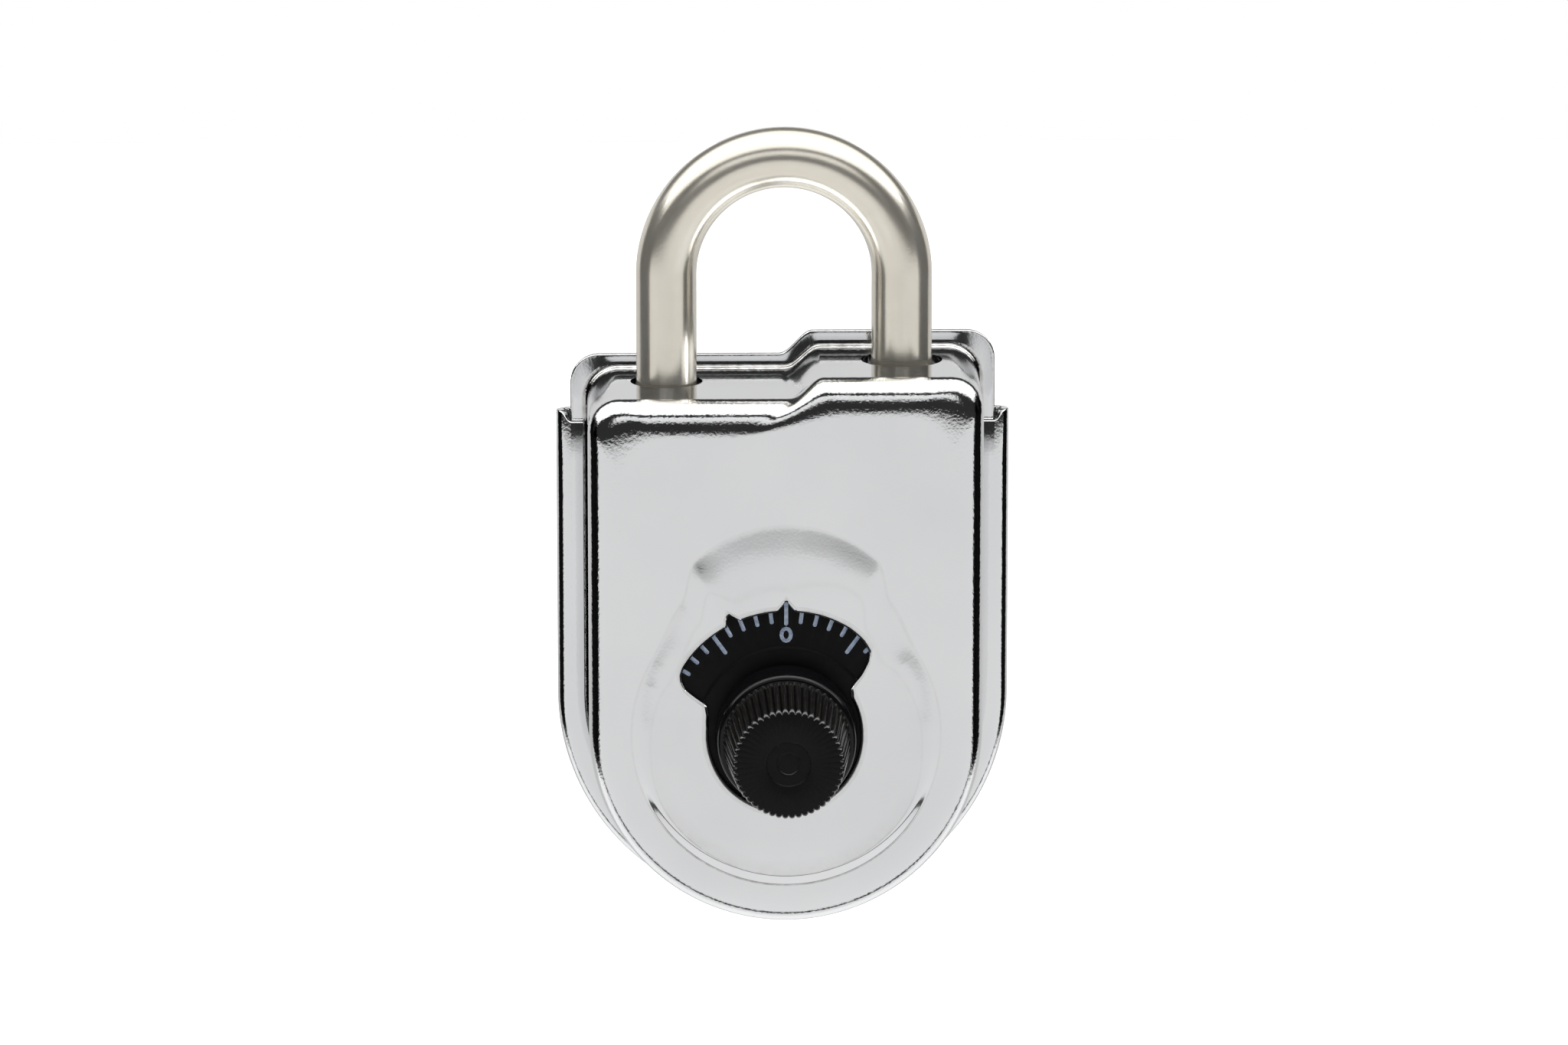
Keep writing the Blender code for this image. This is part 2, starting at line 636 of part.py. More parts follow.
def make_wheel_post():
    """Fixed post that the wheels turn on, its spacers, wave washer and snap ring."""
    flange = FRONT_PLATE[0] - GAP
    shoulder = flange - POST_FLANGE_T
    profile = [
        (RUN_R, flange), (POST_FLANGE_R, flange), (POST_FLANGE_R, shoulder), (POST_R, shoulder),
        (POST_R, SNAP_GROOVE[1]), (SNAP_GROOVE_R, SNAP_GROOVE[1]), (SNAP_GROOVE_R, SNAP_GROOVE[0]),
        (POST_R, SNAP_GROOVE[0]), (POST_R, POST_END), (RUN_R, POST_END),
    ]
    turned("wheel_post", STEEL, profile, ring=True)
    for number in (1, 2):
        front = WHEEL_BACK + WHEEL_PITCH * (3 - number)
        depths = (front - (WHEEL_PITCH - WHEEL_T) + GAP, front - GAP)
        tube(f"spacer_washer_{number}", BRASS, (POST_R + GAP, SPACER_R), depths, steps=20)
    tube("tension_washer", SPRING, (POST_R + GAP, SPACER_R), TENSION_WASHER, steps=20)
    start, end = SNAP_OPEN
    snap = arc(0.0, 0.0, SNAP_R[1], start, end, 20) + arc(0.0, 0.0, SNAP_R[0], end, start, 20)
    flat_piece("retaining_ring", SPRING, [snap], SNAP_DEPTHS)


def make_plates():
    """Back plate, front plate and hard shield that hold the mechanism together."""
    holes = [circle(SCREW_R + GAP, 12, *spot) for spot in PILLARS]
    pins = [circle(GUIDE_PIN_R + GAP, 12, *spot) for spot in GUIDE_PINS]
    stop = circle(STOP_PIN_R + GAP, 12, *STOP_PIN)
    rivet = circle(RIVET_HOLE_R, 12, 0.0, RIVET_UP)
    back = case_outline(BACK_PLATE_HALF, BACK_PLATE_TOP, PLATE_CORNER)
    key = circle(KEY_HOLE_R[1], 16, 0.0, KEY_UP)
    flat_piece("inner_back_plate", STEEL, [back, key, stop, rivet, *holes, *pins], BACK_PLATE)
    front = case_outline(FRONT_PLATE_HALF, FRONT_PLATE_TOP, PLATE_CORNER)
    centre = circle(PLATE_BORE_R, 20)
    flat_piece("front_plate", STEEL, [front, centre, stop, *holes], FRONT_PLATE)
    tube("drill_shield", SPRING, (PLATE_BORE_R, SHIELD_R), SHIELD, steps=32)
    bushing = (FRONT_PLATE[0] + PRESS, SHIELD[1] + GAP + PRESS)
    tube("dial_bushing", BRASS, (RUN_R, BUSHING_R), bushing, steps=20)


def make_fasteners():
    """Spacer pillar, long screw and weld nut at each corner of the mechanism."""
    head = BACK_PLATE[0] - GAP
    for number, (x, up) in enumerate(PILLARS, start=1):
        depths = (BACK_PLATE[1] + GAP, FRONT_PLATE[0] - GAP)
        tube(f"frame_pillar_{number}", STEEL, (SCREW_R + GAP, PILLAR_R), depths, x, up, steps=16)
        rim = head - SCREW_HEAD_T[0]
        crown = head - SCREW_HEAD_T[1]
        screw = [(0.0, SCREW_END), (SCREW_R, SCREW_END), (SCREW_R, head), (SCREW_HEAD_R[1], head),
                 (SCREW_HEAD_R[1], rim), (SCREW_HEAD_R[0], crown), (0.0, crown)]
        made = turned(f"frame_screw_{number}", STEEL, screw, x, up, steps=16)
        ups = (up - SCREW_SLOT_HALF, up + SCREW_SLOT_HALF)
        across = (x - NUT_R - 1.0, x + NUT_R + 1.0)
        combine(made, block(f"screw_slot_{number}", None, across, ups, (crown - 1.0, rim)))
        inner = SCREW_R + GAP
        nut = [(0.0, NUT_END), (NUT_R, NUT_END), (NUT_R, FRONT_PLATE[1] + GAP), (inner, FRONT_PLATE[1] + GAP),
               (inner, SCREW_END + PRESS), (0.0, SCREW_END + PRESS)]
        turned(f"weld_nut_{number}", STEEL, nut, x, up, steps=16)


def slot_loop(x, up):
    """A slot in the bolt that lets it travel past a guide pin."""
    radius = GUIDE_PIN_R + GAP
    return arc(x, up, radius, -90, 90, 6) + [(x, up + radius)] + arc(
        x - BOLT_TRAVEL, up, radius, 90, 270, 6) + [(x - BOLT_TRAVEL, up - radius)]


def make_locking_bolt():
    """Sliding bolt: a nose in the shackle's notch, a plate, and the fence beside the wheels."""
    loops = [BOLT_OUTLINE] + [slot_loop(*spot) for spot in GUIDE_PINS]
    bolt = to_mesh(flat_piece("locking_bolt", STEEL, loops, BOLT_PLATE), STEEL)
    low, foot, top = NOSE_UP
    nose = [(NOSE_ROOT_X, top), (NOSE_TIP_X, top), (NOSE_TIP_X, foot), (NOSE_TIP_X + RAMP * (foot - low), low),
            (NOSE_ROOT_X, low)]
    root = BOLT_PLATE[0] + BOLT_ROOT
    combine(bolt, flat_cutter("bolt_nose", nose, (root, NOSE_FRONT)), "UNION")
    fence = block("fence", None, FENCE_X, (-FENCE_HALF, FENCE_HALF), (root, FENCE_FRONT))
    combine(bolt, fence, "UNION")
    carry(bolt, "bolt")
    for number, (x, up) in enumerate(GUIDE_PINS, start=1):
        depths = (BACK_PLATE[0] + PRESS, BOLT_PLATE[1] + 2 * PRESS)
        rod(f"bolt_guide_pin_{number}", STEEL, GUIDE_PIN_R, depths, x, up)


def coil(name, radius, wire, turns, length, steps=10):
    """A compression spring along its own Z, standing on its origin."""
    curve = bpy.data.curves.new(name, "CURVE")
    curve.dimensions = "3D"
    curve.bevel_depth = wire * MM
    curve.bevel_resolution = 1
    curve.use_fill_caps = True
    spline = curve.splines.new("POLY")
    total = turns * steps
    spline.points.add(total)
    for i, point in enumerate(spline.points):
        angle = math.tau * i / steps
        height = wire + (length - 2 * wire) * i / total
        point.co = (radius * math.cos(angle) * MM, radius * math.sin(angle) * MM, height * MM, 1.0)
    return add_object(name, curve, SPRING)


def make_shackle_support():
    """Guides that the legs slide in, the stop pin, and the spring under the heel with its seat."""
    for name, x in (("heel_guide", LEG_X), ("toe_guide", -LEG_X)):
        ups = GUIDE_UPS[name]
        guide = block(name, ZINC, (x - GUIDE_HALF, x + GUIDE_HALF), ups, GUIDE_DEPTHS)
        bore = upright(f"{name}_cutter", ROD_R + GAP, (ups[0] - 1.0, ups[1] + 1.0), x, steps=24)
        combine(guide, bore)
    rod("shackle_stop_pin", STEEL, STOP_PIN_R, (BACK_PLATE[0] + PRESS, FRONT_PLATE[1] - PRESS), *STOP_PIN)
    block("spring_seat", ZINC, SEAT_X, SEAT_UP, GUIDE_DEPTHS)
    foot = SEAT_UP[1] + GAP
    spring = coil("shackle_spring", *SHACKLE_COIL, SPRING_BORE_TOP - GAP - foot)
    spring.location = (LEG_X * MM, -SHACKLE_DEPTH * MM, foot * MM)
    block("bolt_spring_stop", STEEL, *BOLT_SPRING_STOP)
    bolt_spring = coil("bolt_spring", *BOLT_COIL, BOLT_COIL_X[1] - BOLT_COIL_X[0])
    bolt_spring.rotation_euler = (0.0, math.pi / 2, 0.0)
    bolt_spring.location = (BOLT_COIL_X[0] * MM, -BOLT_COIL_DEPTH * MM, BOLT_COIL_UP * MM)


def make_cover_spring():
    """Leaf spring riveted to the back plate, which bears on the inside of the cover."""
    mesh = bpy.data.meshes.new("cover_spring")
    shape = bmesh.new()
    rows = []
    high, low, tip = LEAF_DEPTHS
    for i in range(13):
        up = LEAF_UP[0] + (LEAF_UP[1] - LEAF_UP[0]) * i / 12
        depth = high + (low - high) * ease((i - 3) / 5) + (tip - low) * ease((i - 8) / 4)
        rows.append([shape.verts.new((x * MM, up * MM, depth * MM)) for x in (-LEAF_HALF, LEAF_HALF)])
    for (a, b), (c, d) in zip(rows, rows[1:]):
        shape.faces.new((a, c, d, b))
    shape.to_mesh(mesh)
    shape.free()
    leaf = stand_up(add_object("cover_spring", mesh, SPRING))
    sheet = leaf.modifiers.new("sheet", "SOLIDIFY")
    sheet.thickness = LEAF_T * MM
    sheet.offset = -1.0
    hole = circle(RIVET_HOLE_R, 12, 0.0, RIVET_UP)
    combine(leaf, flat_cutter("rivet_hole_cutter", hole, (1.0, BACK_PLATE[0] - 0.05)))
    turned("cover_spring_rivet", STEEL, RIVET_PROFILE, 0.0, RIVET_UP, steps=16)


body("shackle", LEG_X, HEEL_END_UP, SHACKLE_DEPTH)
body("bolt", NOSE_TIP_X, NOSE_UP[2], BOLT_PLATE[0])
body("back_cover")
body("dial")
for wheel in (1, 2, 3):
    body(f"wheel_{wheel}")
make_front_case()
make_back_cover()
make_shackle()
make_dial()
make_wheels()
make_wheel_post()
make_plates()
make_fasteners()
make_locking_bolt()
make_shackle_support()
make_cover_spring()
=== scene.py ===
"""Looks of a combination padlock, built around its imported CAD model.

Shapes are worked out in millimetres as (x, up, depth): x is to the right as the dial is read, up runs along
the shackle and depth is measured forwards from the back face. place() turns them into the frame's metres.
"""
import json
import math

import bmesh
import bpy
import numpy as np
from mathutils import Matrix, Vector


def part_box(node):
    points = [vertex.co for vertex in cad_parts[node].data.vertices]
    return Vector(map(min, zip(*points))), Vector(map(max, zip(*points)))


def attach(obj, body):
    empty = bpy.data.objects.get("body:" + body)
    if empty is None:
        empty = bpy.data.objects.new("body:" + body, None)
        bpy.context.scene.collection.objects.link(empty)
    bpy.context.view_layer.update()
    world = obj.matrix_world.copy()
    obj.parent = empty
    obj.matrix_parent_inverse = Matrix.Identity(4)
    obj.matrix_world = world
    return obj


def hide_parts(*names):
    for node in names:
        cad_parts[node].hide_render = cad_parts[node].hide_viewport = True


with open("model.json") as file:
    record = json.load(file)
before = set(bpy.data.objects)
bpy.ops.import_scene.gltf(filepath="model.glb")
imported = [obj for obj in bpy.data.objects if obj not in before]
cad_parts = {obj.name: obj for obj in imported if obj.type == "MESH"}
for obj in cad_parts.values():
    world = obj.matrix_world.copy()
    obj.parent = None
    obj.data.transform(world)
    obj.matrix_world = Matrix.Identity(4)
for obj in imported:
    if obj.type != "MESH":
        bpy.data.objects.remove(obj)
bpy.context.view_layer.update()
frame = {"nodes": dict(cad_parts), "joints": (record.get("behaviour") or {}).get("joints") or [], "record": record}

MM = 0.001


def extent(node):
    """A CAD node's lowest and highest x, up and depth in millimetres."""
    low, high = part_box(node)
    return (low.x / MM, high.x / MM), (low.z / MM, high.z / MM), (-high.y / MM, -low.y / MM)


CASE_X, CASE_UP, CASE_DEPTH = extent("front_case")
COVER_X, COVER_UP, COVER_DEPTHS = extent("back_cover")
SHACKLE_X, SHACKLE_UP, SHACKLE_DEPTHS = extent("shackle")
DIAL_X, _, DIAL_DEPTHS = extent("dial")

# shackle
ROD_R = (SHACKLE_DEPTHS[1] - SHACKLE_DEPTHS[0]) / 2
ROD_CHAMFER = 0.7
SHACKLE_DEPTH = (SHACKLE_DEPTHS[1] + SHACKLE_DEPTHS[0]) / 2
LEG_X = SHACKLE_X[1] - ROD_R
BOW_UP = SHACKLE_UP[1] - ROD_R - LEG_X
HEEL_END_UP = SHACKLE_UP[0]
TOE_END_UP = 32.1
NOTCH_X = -14.15        # how deep the bolt's nose reaches into the toe
NOTCH_UP = (39.9, 41.9)
NOTCH_RAMP = 0.4        # the notch's lower side clears the nose as it draws back
STOP_FLAT_X = 12.7
STOP_UP = (21.9, 37.8)
STOP_GROOVE = 2.8
SPRING_BORE_R = 2.0
SPRING_BORE_TOP = 33.0

# case
SHEET = 1.2
FLANGE_HALF = CASE_X[1]
FLANGE_DEPTH = CASE_DEPTH[0] + SHEET
FLANGE_TOP = (CASE_UP[1] - 3.1, CASE_UP[1])     # left, right
FLANGE_CORNER = 3.8
FLANGE_STEP_X = (-0.5, 3.9)
FLANGE_RIM_R = 0.22
ROOT_HALF = FLANGE_HALF - 2.2
ROOT_TOP = (CASE_UP[1] - 4.9, CASE_UP[1] - 2.1)
ROOT_CORNER = 4.2
ROOT_FILLET = 0.45
FLANGE_LEAN = 0.164      # slope of the flange above the cover, forwards
BOSS_DEPTH = CASE_DEPTH[1]
FRONT_DEPTH = BOSS_DEPTH - 1.6
FRONT_HALF = ROOT_HALF - 0.2
FRONT_TOP = (ROOT_TOP[0] - 0.1, ROOT_TOP[1] - 0.1)
EDGE_R = 3.05
EDGE_EASE = 10.0         # extra radius where the edge leaves the front face
FACE_CORNER = 6.0
FACE_STEP_X = (-9.0, 9.5)
STEP_X = (0.3, 4.9)
FLANGE_HEIGHTS = (1.0, 1.3)     # of the flange's flat above the wall's fillet, left and right
EDGE_EASE_TURN = 22.0    # degrees over which the extra radius fades out
EDGE_SAMPLES = 400
EDGE_STEPS = 26
HOLE_R = (4.73, 5.34)           # toe, heel
TOE_HOLE_UP = (41.0, 47.0)
HEEL_HOLE_UP = (43.5, 50.0)

# raised boss and dial window
BOSS_R = 20.3
BOSS_RISE = 1.15        # height of the boss over the face at and below BOSS_FULL_UP
FAN_RISE = 0.32         # and at the window's top
BOSS_FULL_UP = -17.0
BOSS_HALF_UP = 7.0      # the boss falls to the fan's height between the two
BEAD = 0.012            # rolled bead round the window
BEAD_WIDE = 0.55
# strength of the painted shade and grime darkening the boss's foot and shoulder creases
BOSS_CREASE_SHADE = 0.9
FAN_R = 17.4
FAN_UP = 10.5
WINDOW_FAN_R = 16.3
INDEX_R = 17.65
CHANGE_INDEX = -24.6
INDEX_HALF_WIDTH = 1.3
CHANGE_HALF_WIDTH = 1.0
RIM_R = 0.42
RIM_SHEET = 0.70
# the window's radius by degrees clockwise from the top, without its two index notches
WINDOW_EDGE = (
    (-180, 9.9), (-135, 10.05), (-90, 10.12), (-84, 10.14), (-75, 10.4), (-69, 11.0), (-67.8, 11.9),
    (-66.9, 12.8), (-65, 14.4), (-62, 15.3), (-59.6, 15.75), (-56, 16.0), (-49, 16.1), (-20, 16.3),
    (17, 16.35), (30, 16.25), (38, 15.95), (41, 15.7), (44.4, 15.4), (48, 14.1), (51.3, 12.3), (52.5, 11.1),
    (54, 10.3), (60, 9.75), (90, 9.68), (135, 9.75), (180, 9.9),
)
# how wide the boss's slope is by degrees from the top, alike on both sides
BOSS_WIDTHS = (
    (0, 9.4), (30, 8.4), (60, 5.2), (75, 4.2), (90, 3.3), (105, 2.9), (120, 2.6), (133, 1.75), (180, 1.75),
)

# back cover
COVER_SHEET = 1.0
COVER_HALF = COVER_X[1]
COVER_TOP = COVER_UP[1]
COVER_LIP_TOP = COVER_TOP - 1.4
COVER_DEPTH = COVER_DEPTHS[1]
COVER_LIP_HALF = COVER_HALF - 3.6

# dial
DIAL_R = DIAL_X[1]
RUN_R = 2.5
DIAL_BACK = DIAL_DEPTHS[0]
DIAL_FACE = DIAL_BACK + 1.6
KNOB_FACE = DIAL_DEPTHS[1]
GRADUATIONS = 50
MARK_HALF = 0.27
MARK_OUTER = 17.9
MARK_SHORT = 14.75
MARK_TEN = 14.45
MARK_LONG = 13.2
NUMERAL_R = 13.25
NUMERAL_HALF = (0.62, 0.82)
NUMERAL_PITCH = 1.0
NARROW = 0.5            # width of a two-digit number's digits against the nought's
NUMERAL_LINE = 0.95     # numeral strokes against the ticks' width
ENGRAVED = 0.25
PAINT_GAP = 0.01
PLATE_BORE_R = 8.85
PLATE_STEP = ((PLATE_BORE_R, 27.0), (11.45, 26.98))
PLATE_FACE_R = 11.8
COLLAR_SIDE = ((8.82, 27.0), (9.3, 27.03), (9.15, 28.4), (9.0, 31.5), (8.7, 31.95), (8.15, 32.06))
KNOB_R = (7.25, 8.3)    # front, back
KNOB_DEPTHS = (32.0, 43.25)
KNOB_BACK = KNOB_DEPTHS[0] - 0.1
KNOB_FLOOR = 36.2       # end of the knob's hollow for the spindle
KNURLS = 50
KNURL_DEEP = 0.58
RECESS_R = 2.8
RECESS_DEEP = 0.30
RECESS_RING_DEEP = 0.18

# camera and stage
AIM = Vector((0.0, -0.012, 0.024))
CAMERA_DISTANCE = 1.0
CAMERA_ELEVATION = 12.0
CAMERA_AZIMUTH = -1.1
LENS = 174.4
SHIFT_UP = 0.00495
FLOOR_BELOW = 0.012     # under the cover's lowest place on its slide
FLOOR_HALF = 0.55
FLOOR_FRONT = 1.2
WORLD_SCALE = 9.0
# brightness of the surroundings by degrees upwards from the horizon in front
BELOW = (
    (-180, 0.70), (-160, 0.60), (-142, 0.65), (-130, 1.12), (-102, 1.12), (-90, 0.92), (-80, 0.82),
    (-79, 0.30), (-77, 0.06), (-71, 0.06), (-68.5, 0.80), (-60, 0.91), (-30, 0.87), (-7.2, 0.84),
    (-5.6, 0.62), (-3.2, 0.54), (-1.6, 0.03),
)
AHEAD = ((16, 0.03), (19, 0.85), (32, 1.08), (34.5, 0.03))
ABOVE = (
    (44, 0.03), (47, 1.35), (78, 1.6), (80, 9.0), (85, 9.0), (87, 1.6), (126, 1.35), (131, 0.04),
    (158, 0.06), (165, 0.75), (180, 0.72),
)
NOISE_MIDDLE = (0.3, 0.7)       # the range that most noise values lie in


# ---------------- shapes

def place(points):
    """Frame coordinates in metres of (x, up, depth) points in millimetres."""
    points = np.asarray(points, float).reshape(-1, 3)
    return np.column_stack((points[:, 0], -points[:, 2], points[:, 1])) * MM


def make_object(name, mesh, body):
    """Link a piece that rides on a body."""
    obj = bpy.data.objects.new(name, mesh)
    bpy.context.scene.collection.objects.link(obj)
    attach(obj, body)
    return obj


def grid_mesh(name, rings, closed_rings=True, closed_loop=False, finish=None):
    """A mesh of quads between rings of points. finish gives each ring how worked it is and how much painted shade
    and grime it gets.
    """
    count = len(rings[0])
    total = len(rings)
    faces = []
    for r in range(total if closed_rings else total - 1):
        nxt = (r + 1) % total
        for i in range(count if closed_loop else count - 1):
            j = (i + 1) % count
            faces.append((r * count + i, r * count + j, nxt * count + j, nxt * count + i))
    mesh = bpy.data.meshes.new(name)
    mesh.from_pydata(place(np.concatenate(rings)).tolist(), [], faces)
    if finish is not None:
        values = np.array([[np.broadcast_to(part, count) for part in pair] for pair in finish], float)
        values = values.transpose(0, 2, 1).reshape(-1, 2)
        corners = np.zeros(len(mesh.loops), int)
        mesh.loops.foreach_get("vertex_index", corners)
        layer = mesh.uv_layers.new(name="finish")
        layer.data.foreach_set("uv", values[corners].ravel())
    return mesh


def tidy(mesh, sharp=35.0):
    """Weld, turn the faces outwards and shade smooth with sharp corners kept."""
    shape = bmesh.new()
    shape.from_mesh(mesh)
    bmesh.ops.remove_doubles(shape, verts=shape.verts, dist=0.000001)
    bmesh.ops.recalc_face_normals(shape, faces=shape.faces)
    shape.to_mesh(mesh)
    shape.free()
    mesh.shade_smooth()
    mesh.set_sharp_from_angle(angle=math.radians(sharp))
    return mesh


def apply_modifiers(obj):
    """Replace an object's mesh with its evaluated one."""
    bpy.context.view_layer.update()
    evaluated = obj.evaluated_get(bpy.context.evaluated_depsgraph_get())
    mesh = bpy.data.meshes.new_from_object(evaluated)
    obj.modifiers.clear()
    obj.data = mesh


def finish_piece(obj, material, sharp=35.0):
    """Shade a piece once its modifiers are applied and give it its one material."""
    tidy(obj.data, sharp)
    obj.data.materials.clear()
    obj.data.materials.append(material)


def cut(obj, meshes, self_crossing=False):
    """Cut meshes out of an object with exact Booleans and apply them."""
    helpers = []
    for mesh in meshes:
        helper = bpy.data.objects.new(mesh.name, mesh)
        bpy.context.scene.collection.objects.link(helper)
        modifier = obj.modifiers.new(mesh.name, "BOOLEAN")
        modifier.operation = "DIFFERENCE"
        modifier.solver = "EXACT"
        modifier.use_self = self_crossing
        modifier.object = helper
        helpers.append(helper)
    apply_modifiers(obj)
    for helper in helpers:
        bpy.data.objects.remove(helper, do_unlink=True)


def cylinder(name, radius, x, ups, depth, segments=96):
    """A standing round cutter."""
    shape = bmesh.new()
    bmesh.ops.create_cone(shape, cap_ends=True, segments=segments, radius1=radius * MM,
                          radius2=radius * MM, depth=(ups[1] - ups[0]) * MM)
    bmesh.ops.translate(shape, verts=shape.verts, vec=(x * MM, -depth * MM, sum(ups) / 2 * MM))
    mesh = bpy.data.meshes.new(name)
    shape.to_mesh(mesh)
    shape.free()
    return mesh


def turned_ring(name, inner, outer, x, ups, depth, segments=96):
    """A standing ring cutter."""
    turn = np.linspace(0.0, math.tau, segments + 1)[:-1]
    rings = []
    for radius, up in ((inner, ups[0]), (outer, ups[0]), (outer, ups[1]), (inner, ups[1])):
        across = x + radius * np.cos(turn)
        rings.append(np.column_stack((across, np.full(segments, up), depth + radius * np.sin(turn))))
    return tidy(grid_mesh(name, rings, closed_rings=True, closed_loop=True))


def capped(mesh, count):
    """Close a tube made of rings of count points with a face at each end."""
    shape = bmesh.new()
    shape.from_mesh(mesh)
    verts = list(shape.verts)
    shape.faces.new(verts[:count])
    shape.faces.new(verts[-count:])
    bmesh.ops.recalc_face_normals(shape, faces=shape.faces)
    shape.to_mesh(mesh)
    shape.free()
    return mesh


def prism(name, outline, depths):
    """A flat solid with an (x, up) outline between two depths."""
    rings = [np.array([(x, up, depth) for x, up in outline]) for depth in depths]
    return capped(grid_mesh(name, rings, closed_rings=False, closed_loop=True), len(outline))


def turned(name, profile, steps=192, wave=None):
    """A lathe solid from (radius, depth) points; wave(radius, depth, angle) may move a radius."""
    rings = []
    for i in range(steps):
        angle = math.tau * i / steps
        points = []
        for radius, depth in profile:
            moved = wave(radius, depth, angle) if wave else radius
            points.append((moved * math.sin(angle), moved * math.cos(angle), depth))
        rings.append(np.array(points))
    return tidy(grid_mesh(name, rings, closed_rings=True, closed_loop=False))


def ease(t):
    """A smooth step from 0 to 1."""
    t = np.clip(t, 0.0, 1.0)
    return t * t * (3.0 - 2.0 * t)


def arc(cx, cy, radius, start, end, steps):
    """Points along an arc, angles in degrees anticlockwise from the right, last point left out."""
    angles = [math.radians(start + (end - start) * i / steps) for i in range(steps)]
    return [(cx + radius * math.cos(a), cy + radius * math.sin(a)) for a in angles]


def clock(radius, degrees):
    """A point at a radius from the dial axis, its angle clockwise from the top."""
    angle = math.radians(degrees)
    return (radius * math.sin(angle), radius * math.cos(angle))


# ---------------- materials

def new_material(name):
    """An empty material: its node tree, shader and object coordinates."""
    made = bpy.data.materials.new(name)
    made.use_nodes = True
    tree = made.node_tree
    shader = tree.nodes["Principled BSDF"]
    coords = tree.nodes.new("ShaderNodeTexCoord").outputs["Object"]
    return made, tree, shader, coords


def noise(tree, coords, scale, detail, stretch=(1.0, 1.0, 1.0)):
    """Noise with a number of cells to the metre, optionally stretched along an axis."""
    mapping = tree.nodes.new("ShaderNodeMapping")
    mapping.inputs["Scale"].default_value = stretch
    tree.links.new(coords, mapping.inputs["Vector"])
    made = tree.nodes.new("ShaderNodeTexNoise")
    made.inputs["Scale"].default_value = scale
    made.inputs["Detail"].default_value = detail
    tree.links.new(mapping.outputs["Vector"], made.inputs["Vector"])
    return made.outputs["Fac"]


def spread(tree, value, low, high):
    """Map noise from its useful middle to a range."""
    made = tree.nodes.new("ShaderNodeMapRange")
    made.inputs["From Min"].default_value = NOISE_MIDDLE[0]
    made.inputs["From Max"].default_value = NOISE_MIDDLE[1]
    made.inputs["To Min"].default_value = low
    made.inputs["To Max"].default_value = high
    tree.links.new(value, made.inputs["Value"])
    return made.outputs["Result"]


def mix_colours(tree, factor, first, second):
    """Blend two colours, each a triple or a socket."""
    made = tree.nodes.new("ShaderNodeMix")
    made.data_type = "RGBA"
    tree.links.new(factor, made.inputs["Factor"])
    for socket, colour in ((made.inputs[6], first), (made.inputs[7], second)):
        if isinstance(colour, tuple):
            socket.default_value = (*colour, 1.0)
        else:
            tree.links.new(colour, socket)
    return made.outputs[2]


def bump(tree, shader, layers):
    """Chain bumps: (height socket, height in metres of a full step)."""
    last = None
    for height, distance in layers:
        made = tree.nodes.new("ShaderNodeBump")
        made.inputs["Strength"].default_value = 1.0
        made.inputs["Distance"].default_value = distance
        tree.links.new(height, made.inputs["Height"])
        if last:
            tree.links.new(last, made.inputs["Normal"])
        last = made.outputs["Normal"]
    tree.links.new(last, shader.inputs["Normal"])


def math_node(tree, operation, *values):
    """Result of a maths node, each value a float or a socket."""
    made = tree.nodes.new("ShaderNodeMath")
    made.operation = operation
    for socket, value in zip(made.inputs, values):
        if isinstance(value, float):
            socket.default_value = value
        else:
            tree.links.new(value, socket)
    return made.outputs[0]


def times(tree, first, second):
    """Product of two sockets."""
    return math_node(tree, "MULTIPLY", first, second)


def chrome(name):
    """Bright plate: orange peel where the sheet is worked, slow waves, wiping marks, and painted shade and grime
    darkening its creases.
    """
    made, tree, shader, coords = new_material(name)
    shader.inputs["Metallic"].default_value = 1.0
    layer = tree.nodes.new("ShaderNodeUVMap")
    layer.uv_map = "finish"
    split = tree.nodes.new("ShaderNodeSeparateXYZ")
    tree.links.new(layer.outputs["UV"], split.inputs[0])
    worked = split.outputs["X"]
    # how far the colour is darkened by painted shade and grime in creases, from the finish map's second value
    shade_and_grime = times(tree, split.outputs["Y"], spread(tree, noise(tree, coords, 900.0, 3.0), 0.4, 1.0))
    cloud = noise(tree, coords, 55.0, 4.0)
    clean = mix_colours(tree, spread(tree, cloud, 0.0, 1.0), (0.74, 0.745, 0.755), (0.775, 0.78, 0.785))
    # the dark tone of the painted crease shade and grime
    colour = mix_colours(tree, shade_and_grime, clean, (0.20, 0.185, 0.16))
    tree.links.new(colour, shader.inputs["Base Color"])
    wipe = noise(tree, coords, 160.0, 5.0, (1.0, 1.0, 0.5))
    tree.links.new(spread(tree, wipe, 0.05, 0.10), shader.inputs["Roughness"])
    peel = times(tree, noise(tree, coords, 2700.0, 2.0), worked)
    faint = noise(tree, coords, 2600.0, 1.0)
    wave = noise(tree, coords, 220.0, 1.0)
    bump(tree, shader, [(wave, 0.000010), (faint, 0.000002), (peel, 0.000020)])
    return made


def satin_nickel(name):
    """Drawn and plated rod: warm, satin, with fine streaks along it and darker stains."""
    made, tree, shader, coords = new_material(name)
    shader.inputs["Metallic"].default_value = 0.84
    uv = tree.nodes.new("ShaderNodeUVMap").outputs["UV"]
    streak = noise(tree, uv, 60.0, 4.0, (1.0, 0.05, 1.0))
    stain = noise(tree, coords, 260.0, 4.0)
    both = times(tree, spread(tree, streak, 0.0, 1.0), spread(tree, stain, 0.3, 1.0))
    colour = mix_colours(tree, both, (0.76, 0.715, 0.62), (0.86, 0.825, 0.74))
    tree.links.new(colour, shader.inputs["Base Color"])
    tree.links.new(spread(tree, streak, 0.17, 0.25), shader.inputs["Roughness"])
    grain = noise(tree, coords, 3000.0, 2.0)
    bump(tree, shader, [(streak, 0.000006), (grain, 0.000006)])
    return made


